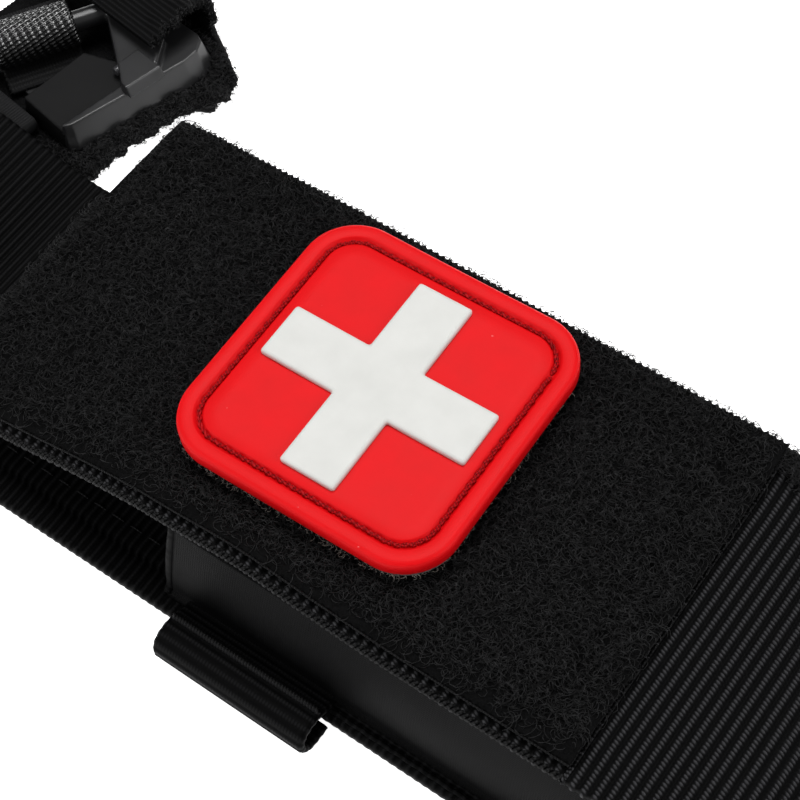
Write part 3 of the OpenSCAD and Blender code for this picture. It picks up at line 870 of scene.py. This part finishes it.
def build_patch_hook():
    rings = []
    for inset, z in ((-1.0, 22.75), (-0.15, 22.8), (0, 23.0), (0, 23.6), (-0.2, 23.85), (-1.4, 23.85)):
        ring = rounded_outline(PATCH_W - 0.8 + 2 * inset, PATCH_W - 0.8 + 2 * inset, 7.1 + inset, 16, 20)
        rings.append(np.concatenate([ring, np.full((len(ring), 1), z)], 1))
    obj = lofted("patch_hook_tape", to_patch(np.array(rings)), PALE_TAPE)
    finish_piece(obj, "patch", ["patch_hook"])
    ring = rounded_outline(PATCH_W - 0.6, PATCH_W - 0.6, 7.2, 20, 40)
    count = 900
    pick = RNG.integers(0, len(ring), count)
    nearness = (ring[pick, 1] < 0) | (ring[pick, 0] > 16)
    pick = pick[nearness | (RNG.uniform(0, 1, count) < 0.3)]
    xy = ring[pick] + RNG.uniform(-0.4, 0.15, (len(pick), 2))
    roots = np.concatenate([xy, RNG.uniform(22.75, 23.4, (len(pick), 1))], 1)
    lines = to_patch(curls(roots, (0.15, 0.4), (1.0, 3.2), (-0.1, 0.25)))
    fuzz = tubes("patch_hook_fuzz", lines, 0.035, PALE_FUZZ)
    finish_piece(fuzz, "patch")


# ---------------------------------------------------------------- pouch and pen loop

def build_pouch():
    xs = np.linspace(0, 1, 90)
    vs = np.linspace(0, 1, 30)

    def near(u, v):
        z = 4.05 + 14.9 * v
        x = NEAR_MOUTH_X + 1.2 * v + (POUCH_END - NEAR_MOUTH_X - 1.2 * v) * u
        belly = 0.9 * np.sin(np.pi * v) * (0.35 + 0.65 * np.sin(np.pi * np.clip(u * 0.85 + 0.1, 0, 1)))
        ripple = 0.12 * np.sin(x / 4.1 + 2 * v) * np.sin(np.pi * v)
        y = NEAR_Y + 2.6 * v - belly - ripple
        foot = -0.9 * (1 - smooth(v, 0, 0.09))
        return x, y + foot, z

    wall = sheet_block("gusset_near_wall", grid_of(xs, vs, near), 1.0, GUSSET)
    finish_piece(wall, "strap", ["gusset_near"])

    def far(u, v):
        z = 4.05 + 14.6 * v
        x = POUCH_END - (POUCH_END - MOUTH_X) * u
        y = FAR_Y + 0.5 * np.sin(np.pi * v) * np.sin(np.pi * u) + 0.08 * np.sin(x / 3.7)
        return x, y, z

    wall = sheet_block("gusset_far_wall", grid_of(xs, vs, far), 1.0, GUSSET)
    finish_piece(wall, "strap", ["gusset_far"])

    def end(u, v):
        z = 4.05 + 14.4 * v
        y = NEAR_Y + 2.6 * v + (FAR_Y - NEAR_Y - 2.6 * v) * u
        return POUCH_END + 1.0 + 0.5 * np.sin(np.pi * v) * np.sin(np.pi * u), y, z

    wall = sheet_block("gusset_end_wall", grid_of(xs, vs, end), 1.0, GUSSET)
    finish_piece(wall, "strap", ["gusset_end"])

    def floor(u, v):
        x = MOUTH_X + (POUCH_END - MOUTH_X) * u
        return x, -20 + 41 * v, 4.75 + 0.05 * np.sin(x / 3) * np.sin(v * 9)

    cloth = sheet_block("pouch_floor_cloth", grid_of(xs, vs, floor), 0.7, GUSSET)
    finish_piece(cloth, "strap", ["pouch_floor"])
    hem = []
    for v in np.linspace(0.02, 0.98, 24):
        x, y, z = near(np.zeros(1), np.full(1, v))
        hem.append([float(x[0]) - 0.1, float(y[0]) + 0.45, float(z[0])])
    edge, _ = resample(hem, 0.3)
    obj = tubes("gusset_mouth_binding", edge[None], 0.75, GUSSET, sides=12, taper=0.9)
    finish_piece(obj, "strap")
    rows = []
    for y, z in ((-23.1, 4.25), (-24.0, 4.2)):
        x = np.concatenate([np.linspace(14, 124, 260)])
        rows.append(np.stack([x, y + 0.04 * np.sin(x * 2.1), z + 0.05 * np.sin(x * 3.4)], -1))
    obj = tubes("base_edge_rows", np.array(rows), 0.34, STRAP, sides=8, taper=0.95)
    finish_piece(obj, "strap")


def build_running_strap():
    pts = []
    x0, x1 = -10.0, 56.0
    for layer in range(5):
        z = 5.8 + 2.5 * layer
        ends = (x1, x0) if layer % 2 == 0 else (x0, x1)
        pts += [[ends[0], 2.4, z], [(x0 + x1) / 2, 2.4, z + 0.1], [ends[1], 2.4, z]]
        if layer < 4:
            out = -2.1 if layer % 2 == 0 else 2.1
            pts += [[ends[1] + out * 0.9, 2.4, z + 0.5], [ends[1] + out * 1.1, 2.4, z + 1.25],
                    [ends[1] + out * 0.9, 2.4, z + 2.0]]
    obj = strap("running_strap_folded", pts, (0, 1, 0), 36, 1.6, FINE_WEBBING, step=0.4, across=24,
                rib=(0.95, 0.12))
    finish_piece(obj, "strap", ["running_strap"])
    tip = [[-9.8, 2.4, 15.8], [-13, 2.4, 15.8], [-17.4, 2.4, 15.8]]
    obj = strap("running_strap_sewn_tip", tip, (0, 1, 0), 34, 1.9, FINE_WEBBING, step=0.2, across=30,
                rib=(0.95, 0.12))
    finish_piece(obj, "strap", ["running_strap_tip"])


def build_pen_loop():
    pts = [[-22.6, 4.5], [-24.0, 4.7], [-25.2, 5.5], [-26.6, 6.0], [-28.3, 5.9], [-29.5, 5.0], [-29.95, 3.5],
           [-29.6, 1.9], [-28.5, 0.8], [-27, 0.7], [-25.2, 0.75]]
    spine = np.array([[PEN_X, y, z] for y, z in pts])
    obj = strap("pen_loop_webbing", spine, (1, 0, 0), PEN_W, PEN_T, PEN_WEBBING, step=0.08, across=80,
                rib=(1.2, 0.09), edge_wave=0.03)
    finish_piece(obj, "strap", ["pen_loop"])
    x = np.linspace(-10.0, 13.6, 60)
    seam = np.stack([x, -25.6 + 0 * x, 6.35 + 0 * x], -1)
    obj = twisted_cord("pen_loop_top_cord", seam, 0.28, 0.28, 0.9, SEAM_THREAD)
    finish_piece(obj, "strap")


def build_closure():
    us, vs = np.linspace(0, 1, 50), np.linspace(0, 1, 70)
    hook = sheet_block("closure_hook_tape", grid_of(us, vs, lambda u, v: (
        -42 + 20 * u, -10 + 32 * v, 4.75 + 0.04 * np.sin(40 * u) * np.sin(60 * v))), 0.7, HOOK_TAPE)
    finish_piece(hook, "strap", ["closure_hook"])
    x, y = np.meshgrid(np.arange(-41.4, -22.4, 0.8), np.arange(-9.4, 21.6, 0.8))
    roots = np.stack([x.ravel(), y.ravel(), np.full(x.size, 4.7)], -1)
    obj = tubes("closure_hooks", curls(roots, (0.18, 0.26), (2.6, 3.4), (0.3, 0.45)), 0.07, HOOK_TAPE)
    finish_piece(obj, "strap")
    loop = sheet_block("closure_loop_tape", grid_of(us, vs, lambda u, v: (
        -46 + 22 * u, 24.8 - 38 * v, 18.0 + flap_sag(-46 + 22 * u, 24.8 - 38 * v))), -0.9, TAPE)
    finish_piece(loop, "flap", ["closure_loop"])
    count = 1500
    x, y = RNG.uniform(-45.6, -24.4, count), RNG.uniform(-12.6, 24.4, count)
    roots = np.stack([x, y, 18.1 + flap_sag(x, y)], -1)
    lines = curls(roots, (0.3, 0.8), (1.6, 4.0), (0.1, 0.6))
    lines[..., 2] = 2 * roots[:, None, 2] - lines[..., 2]
    obj = tubes("closure_pile", lines, 0.065, PILE)
    finish_piece(obj, "flap")


# ---------------------------------------------------------------- stitching

def sew(name, rows, body, node, radius=0.26, sag=False):
    """Separate stitches along straight or bent rows of points."""
    t = np.linspace(0, 1, 7)
    paths = []
    for points, stitch, space in rows:
        line, s = resample(points, 0.2)
        start = np.arange(int(s[-1] // (stitch + space))) * (stitch + space)
        at = start[:, None] + t[None] * stitch
        path = np.stack([np.interp(at, s, line[:, k]) for k in range(3)], -1)
        path[..., 2] += 0.22 * np.sin(np.pi * t)[None] ** 0.5 - 0.12
        paths.append(path)
    lines = np.concatenate(paths)
    if sag:
        lines[..., 2] += flap_sag(lines[..., 0], lines[..., 1])
    finish_piece(tubes(name, lines, radius, THREAD, sides=6, taper=0.7), body, [node])


def build_stitching():
    sew("strap_end_stitches", [([[-220, -23, 5.9], [-220, 23, 5.9]], 2.2, 1.2)], "strap", "end_box_stitch")
    top = base = 4.15
    rows = [([[-19, -18, base], [-58, -18, base]], 2.0, 1.2),
            ([[-19, 23.6, base], [-58, 23.6, base]], 2.0, 1.2),
            ([[90, -23.4, top], [121, -23.4, top]], 2.0, 1.2)]
    rows += [([[-122, y, base], [-216, y, base]], 2.0, 1.2) for y in (-22, 22)]
    sew("edge_stitches", rows, "strap", "edge_stitching", radius=0.16)
    z = 6.0
    frame_rows = [([[92, -14, z], [121, -14, z]], 2.2, 1.0), ([[92, 26, z], [121, 26, z]], 2.2, 1.0),
                  ([[90, -14, z], [90, 26, z]], 2.2, 1.0), ([[122, -14, z], [122, 26, z]], 2.2, 1.0),
                  ([[91, -13, z], [121, 25, z]], 2.2, 1.0), ([[91, 25, z], [121, -13, z]], 2.2, 1.0)]
    sew("top_box_stitches", frame_rows, "strap", "top_box_stitch")
    seam = [([[46.35, -18.4, 20.95], [46.35, 28.2, 20.95]], 1.7, 0.35)]
    sew("panel_seam_stitches", seam, "flap", "flap_stitching", radius=0.16, sag=True)


# ---------------------------------------------------------------- crossing band and buckle

BAND_PATH = [(-50, 0.98), (-40, 0.98), (-20, 0.98), (0, 0.98), (12, 1.0), (17, 1.2), (20.2, 2.4), (21.6, 4.6),
             (21.7, 7.2), (20.4, 9.4), (17.6, 10.7), (14.0, 10.5), (11.4, 9.7), (9.0, 9.1)]
BAND_REACH = [(37, 18.5), (46, 18.1), (53, 19.2), (55, 18.9), (59, 20.7), (61, 22.4), (64, 22.5),
              (67.5, 20.8), (69.5, 16.0), (71.5, 11.8), (76, 11.0), (82, 12.0), (91, 12.0)]


def band_shape(v, s, y=None):
    """Narrow the band where it turns back over the buckle, ruffle its selvedge, then place it."""
    v = v.copy()
    right = smooth(v[..., 0], 4, 19)
    v[..., 0] += right * (np.interp(s, *zip(*BAND_REACH)) - 19 + 0.3 * np.sin(2.1 * s))
    v[..., 2] += right ** 3 * (0.3 + 0.35 * np.sin(1.3 * s + 2.2)) * smooth(s, 36, 46)
    v[..., 2] = np.maximum(v[..., 2], 0.02)
    x, yy, z = at_buckle(v[..., 0], v[..., 1], v[..., 2])
    return np.stack([x, yy, z], -1)


def build_band():
    spine = np.array([(0, y, z) for y, z in BAND_PATH], float)
    band = strap("limb_band_folded", spine, (-1, 0, 0), 38, 1.7, BAND_FACE, step=0.2, across=90,
                 rib=(0.8, 0.1), shape=band_shape, edge_wave=0.2, back=BAND_BACK)
    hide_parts("limb_band", "band_end")
    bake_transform(band)
    band_fuzz(spine)


def band_fuzz(spine):
    """Pile on the band's upper face, and frayed yarn along its right selvedge."""
    line, at = resample(spine, 0.26)
    count = 5200
    s = RNG.uniform(16, 70, count)
    x = 19 - RNG.gamma(1.4, 3.2, count)
    keep = (x > 2) & ~((np.abs(x - 6) < 9) & (np.abs(s - 52) < 12) & (RNG.uniform(0, 1, count) < 0.6))
    s, x = s[keep], x[keep]
    lift = np.full(len(s), 0.85)
    fray = RNG.uniform(36, 90, 1500)
    s, x, lift = (np.concatenate(pair) for pair in (
        (s, fray), (x, RNG.uniform(18.2, 19.2, 1500)), (lift, RNG.uniform(-0.9, 0.9, 1500))))
    body = np.where(s > 73.5, 1, 0)
    y, z = np.interp(s, at, line[:, 1]), np.interp(s, at, line[:, 2])
    slope_y = np.interp(s + 0.3, at, line[:, 1]) - y
    slope_z = np.interp(s + 0.3, at, line[:, 2]) - z
    size = np.maximum(np.hypot(slope_y, slope_z), 1e-6)
    roots = np.stack([x, y - lift * slope_z / size, z + lift * slope_y / size], -1)
    roots = band_shape(roots, s)
    for k, (name, part) in enumerate((("band_pile", "strap"), ("band_tail_pile", "band_tail"))):
        spot = roots[body == k]
        lines = curls(spot, (0.3, 0.8), (1.6, 4.2), (0.1, 0.6))
        trim = np.clip((18.6 - x[body == k]) / 2, 0.35, 1)[:, None, None]
        lines = spot[:, None] + (lines - spot[:, None]) * trim
        finish_piece(tubes(name, lines, 0.06, BAND_FUZZ), part)


CROSSBAR = np.array([-5.9, 0.2, 6.6])
CROSSBAR_R, ROLL_R = 1.7, (3.1, 3.05)  # the rod, and the roll's middle layer across and up
CROSSBAR_LEAN = math.radians(24)
CROSSBAR_AXIS = np.array([math.sin(CROSSBAR_LEAN), math.cos(CROSSBAR_LEAN), 0])


def build_buckle():
    axis = CROSSBAR_AXIS
    across = np.array([axis[1], -axis[0], 0])
    centre = CROSSBAR + axis * -0.9
    turn = np.radians(np.arange(-100, 330, 14))
    up = np.array([0, 0, 1])
    spiral = [centre + across * ROLL_R[0] * math.sin(a) + up * ROLL_R[1] * math.cos(a) for a in turn]

    def place(v, s, y):
        x, yy, z = at_buckle(v[..., 0], v[..., 1], v[..., 2])
        return np.stack([x, yy, z], -1)

    roll = strap("buckle_webbing_roll", spiral, axis, 13.2, 1.3, ROLL_WEBBING, step=0.08, across=140,
                 rib=(0.57, 0.16), bead=(1.2, 0.7, -0.25), shape=place, edge_wave=0.1, skew=0.27)
    finish_piece(roll, "strap", ["buckle_roll"])
    tail = [centre + across * t + np.array([0, 0, z - 6.6])
            for t, z in ((-9, 3.2), (-4, 3.0), (0, 2.9), (3, 2.8), (7.0, 2.7))]
    lower = strap("buckle_webbing_tail", tail, axis, 13.0, 1.0, TAIL_WEBBING, step=0.12, across=140,
                  rib=(1.0, 0.1), bead=(0.5, 1.0, 0.0), shape=place)
    finish_piece(lower, "strap")
    tie = np.array([[-4, -10.8, 3.7], [-4, -20, 3.7], [-4, -33, 3.7]])
    tied = strap("buckle_webbing_tie", tie, (1, 0, 0), 20, 2.6, TAIL_WEBBING, step=0.2, across=160,
                 rib=(1.0, 0.1), bead=(0.5, 1.0, 0.0), shape=place, edge_wave=0.02)
    finish_piece(tied, "strap", ["buckle_strap"])
    build_buckle_mouldings()


def moulded(name, parts, voxel, rounds, body, node, material=PLASTIC):
    """One moulding in the buckle's own directions: parts are (low outline, low z, high outline, high z)."""
    bm = bmesh.new()
    for low, z0, high, z1 in parts:
        rings = [[bm.verts.new((p[0] * MM, p[1] * MM, (p[2] if len(p) > 2 else z) * MM)) for p in outline]
                 for outline, z in ((low, z0), (high, z1))]
        count = len(low)
        for i in range(count):
            k = (i + 1) % count
            bm.faces.new([rings[0][i], rings[0][k], rings[1][k], rings[1][i]])
        bm.faces.new(rings[1])
        bm.faces.new(rings[0][::-1])
    bmesh.ops.recalc_face_normals(bm, faces=bm.faces)
    mesh = bpy.data.meshes.new(name)
    bm.to_mesh(mesh)
    bm.free()
    obj = bpy.data.objects.new(name, mesh)
    bpy.context.scene.collection.objects.link(obj)
    remesh_smooth(obj, voxel, rounds, material)
    co = np.array([v.co for v in obj.data.vertices]) / MM
    x, y, z = at_buckle(co[:, 0], co[:, 1], co[:, 2])
    obj.data.vertices.foreach_set("co", (np.stack([x, y, z], -1) * MM).astype(np.float32).ravel())
    obj.data.update()
    return finish_piece(obj, body, [node])


def rod_outline(centre, axis, radius, half, n=20):
    """A rod lying in the buckle's plane, cut into level slabs, as parts for moulded()."""
    parts = []
    side = np.array([axis[1], -axis[0]])
    levels = np.linspace(-1, 1, n)
    for a, b in zip(levels[:-1], levels[1:]):
        outlines = []
        for level in (a, b):
            w = max(math.sqrt(max(1 - level * level, 0)) * radius, 0.05)
            outlines.append([centre[:2] + axis[:2] * i + side * j
                             for i, j in ((-half, -w), (half, -w), (half, w), (-half, w))])
        parts.append((outlines[0], centre[2] + a * radius, outlines[1], centre[2] + b * radius))
    return parts


def build_buckle_mouldings():
    front_low = [(11.0, -10.3), (12.7, -10.2), (13.7, -9.0), (17.2, 11.5), (17.1, 14.5), (15.9, 16.9),
                 (13.6, 17.8), (9.0, 17.5), (9.0, 8.0), (12.0, 8.0)]
    front_high = [(11.0, -9.4), (11.4, -9.3), (12.0, -8.4), (15.5, 11.8), (15.4, 14.6), (14.4, 16.4),
                  (12.8, 17.0), (9.0, 16.8), (9.0, 8.6), (12.4, 8.6)]
    ledge_low = [(2.0, -10.4), (11.8, -10.3), (13.0, 8.0), (2.0, 3.0)]
    ledge_high = [(2.4, -9.8, 6.4), (11.7, -9.6, 5.0), (13.0, 8.0, 5.0), (2.4, 2.6, 6.4)]
    cheek_low = [(-0.8, 9.7), (12.4, 1.5), (14.2, 8.2), (11.0, 12.5), (-0.8, 12.6)]
    cheek_high = [(-0.6, 9.9), (12.2, 2.0), (13.4, 8.2), (10.6, 12.2), (-0.6, 12.4)]
    arm = [(-10.4, -7.4), (9.0, -7.4), (9.0, -5.4), (-10.4, -5.4)]
    frame_parts = [(front_low, 2.0, front_high, 6.3),
                   (cheek_low, 4.4, cheek_high, 7.6), (arm, 2.0, arm, 2.7)]
    frame_parts += rod_outline(CROSSBAR, CROSSBAR_AXIS, CROSSBAR_R, 11.2)
    # The ledge is moulded in the frame's own nylon; its darker material is painted shade on the recessed top.
    moulded("buckle_frame_ledge", [(ledge_low, 2.0, ledge_high, 5.5)], 0.22, 4, "buckle", "buckle_frame",
            MATT_SHADED_PLASTIC)
    moulded("buckle_frame_moulding", frame_parts, 0.17, 4, "buckle", "buckle_frame")
    latch_low = [(9.4, 3.6), (12.6, 1.4), (15.0, 1.2), (15.7, 8.0), (9.4, 8.0)]
    latch_high = [(9.4, 3.9), (12.6, 1.7), (14.0, 1.4), (14.7, 7.8), (9.4, 7.8)]
    moulded("buckle_latch_moulding", [(latch_low, 6.2, latch_high, 7.95)], 0.15, 3, "latch", "buckle_latch")
    pin = []
    for y, r in ((2.9, 0.5), (3.0, 0.72), (3.2, 0.78), (12.0, 0.78), (12.2, 0.72), (12.3, 0.5)):
        a = np.arange(20) * np.pi / 10
        x, yy, z = at_buckle(9.4 + r * np.cos(a), y + 0 * a, 6.6 + r * np.sin(a))
        pin.append(np.stack([x, yy, z], -1))
    finish_piece(lofted("latch_pin_steel", pin[::-1], METAL), "buckle", ["latch_pin"])


# ---------------------------------------------------------------- windlass end

def build_windlass():
    cx = -163.0
    softened("windlass_rod_moulding", ["windlass_rod"], PLASTIC, voxel=0.4, rounds=4, body="windlass")
    softened("windlass_grip_mouldings", ["rod_grips"], PLASTIC, voxel=0.35, rounds=3, body="windlass")
    for side in (-1, 1):
        x0 = cx + side * 26

        def arch(v, s, y):
            v = v.copy()
            v[..., 2] -= 2.1 * smooth(np.abs(y), 12.6, 15.4)
            return v

        over = np.array([[x0 - 17, 0, 6.95], [x0, 0, 7.0], [x0 + 17, 0, 6.95]])
        obj = strap(f"sleeve_top_{1 + (side > 0)}", over, (0, 1, 0), 34, 1.0, FINE_WEBBING, step=0.24,
                    across=80, rib=(0.95, 0.14), shape=arch)
        finish_piece(obj, "strap", ["ribbon_sleeves"])
        under = np.array([[x0 - 17, 0, 4.5], [x0, 0, 4.5], [x0 + 17, 0, 4.5]])
        obj = strap(f"sleeve_base_{1 + (side > 0)}", under, (0, 1, 0), 34, 0.9, FINE_WEBBING, step=0.4,
                    across=30, rib=(0.95, 0.1))
        finish_piece(obj, "strap")
        rows = [([[x0 - 16, y, 5.45], [x0 + 16, y, 5.45]], 2.0, 1.0) for y in (-15.9, 15.9)]
        sew(f"sleeve_stitches_{1 + (side > 0)}", rows, "strap", "end_box_stitch")
    flat = np.array([[cx - 42, 0, 5.75], [cx, 0, 5.75], [cx + 42, 0, 5.75]])
    obj = strap("inner_ribbon_flat", flat, (0, 1, 0), 25, 1.1, RIBBON, step=0.5, across=40, rib=(0.5, 0.04))
    finish_piece(obj, "strap", ["inner_ribbon"])

    def gather(v, s, y):
        v = v.copy()
        high = smooth(v[..., 2], 6.2, 13.5)
        v[..., 0] = cx + (v[..., 0] - cx) * (1.15 - 0.42 * high + 0.05 * high)
        v[..., 1] += 0.5 * np.sin((v[..., 0] - cx) * 0.7) * (1 - high)
        return v

    rise = np.array([[cx, 4.2, 6.3], [cx, 3.4, 6.9], [cx, 1.4, 9.5], [cx, 0.2, 13], [cx, 0, 18],
                     [cx, 0, 22.2], [cx, 0.6, 23.5], [cx, 2.0, 23.6]])
    obj = strap("windlass_ribbon_gathered", rise, (1, 0, 0), 17.6, 1.2, RIBBON, step=0.25, across=60,
                rib=(0.5, 0.04), shape=gather)
    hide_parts("windlass_ribbon")
    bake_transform(obj)
    softened("stabiliser_plate_moulding", ["stabiliser_plate"], PLASTIC, voxel=0.3, rounds=3, body="strap")
    build_ring()
    us, vs = np.linspace(0, 1, 30), np.linspace(0, 1, 50)
    label = sheet_block("time_label_tape", grid_of(us, vs, lambda u, v: (
        -214 + 7.4 * u, -9 + 18 * v, 4.62 + 0.03 * np.sin(9 * u) * np.sin(17 * v))), 0.4, LABEL)
    finish_piece(label, "strap", ["time_label"])
    box_rows = [([[-213.4, -8.4, 4.75], [-213.4, 8.4, 4.75]], 1.2, 0.8),
                ([[-207.3, -8.4, 4.75], [-207.3, 8.4, 4.75]], 1.2, 0.8)]
    sew("label_stitches", box_rows, "strap", "end_box_stitch", radius=0.16)


def build_ring():
    x0, z0, l, w = -101.0, 12.2, 21.0, 28.0 - 3.0
    ring = rounded_outline(l + 0.0, w, 3.2, 14, 24)
    centre = np.concatenate([ring + [x0 + l / 2, 0], np.full((len(ring), 1), z0)], 1)
    tangent = unit(np.roll(centre, -1, 0) - np.roll(centre, 1, 0))
    out = np.cross(tangent, [0, 0, 1.0])
    angle = np.arange(16) * 2 * np.pi / 16
    tube = centre[:, None] + 1.5 * (out[:, None] * np.cos(angle)[None, :, None]
                                    + np.array([0, 0, 1.0]) * np.sin(angle)[None, :, None])
    n, m, _ = tube.shape
    index = np.arange(n * m).reshape(n, m)
    right, up = np.roll(index, -1, 0), np.roll(index, -1, 1)
    quads = np.stack([index, right, np.roll(right, -1, 1), up], -1).reshape(-1, 4)
    obj = make_mesh("locking_ring", tube.reshape(-1, 3), quads, METAL, tube.reshape(-1, 3)[:, :2])
    finish_piece(obj, "ring", ["tri_ring"])
    turn = np.radians(np.arange(-86, 182, 12))
    wrap = [[x0 + 2.25 * math.sin(-a), 0, z0 + 2.25 * math.cos(a)] for a in turn][::-1]
    path = [[x0 - 6.0, 0, 10.6], [x0 - 3.4, 0, 10.7]] + wrap[2:-1]
    obj = strap("ring_tether_webbing", path, (0, 1, 0), 16, 1.0, FINE_WEBBING, step=0.15, across=40,
                rib=(0.95, 0.12))
    finish_piece(obj, "strap", ["ring_tether"])


# ---------------------------------------------------------------- stage

def build_stage():
    bpy.ops.mesh.primitive_plane_add(size=6, location=(0, 0, -0.0002))
    floor = bpy.context.object
    floor.name = "pale_floor"
    floor.data.materials.append(floor_material())
    add_area_light("overhead_softbox", (-0.12, 0.22, 0.73), 0.4, 4.0)
    add_area_light("right_softbox", (0.55, 0.15, 0.35), 0.4, 1.7)
    add_area_light("near_softbox", (-0.30, -0.42, 0.36), 0.4, 1.5)
    add_world(0.20)
    bpy.context.scene.view_settings.view_transform = "Standard"


def main():
    add_camera()
    build_base()
    build_flap()
    build_pile()
    build_top_webbing()
    build_patch()
    build_pouch()
    build_running_strap()
    build_pen_loop()
    build_closure()
    build_stitching()
    build_band()
    build_buckle()
    build_windlass()
    build_stage()
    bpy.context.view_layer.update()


main()
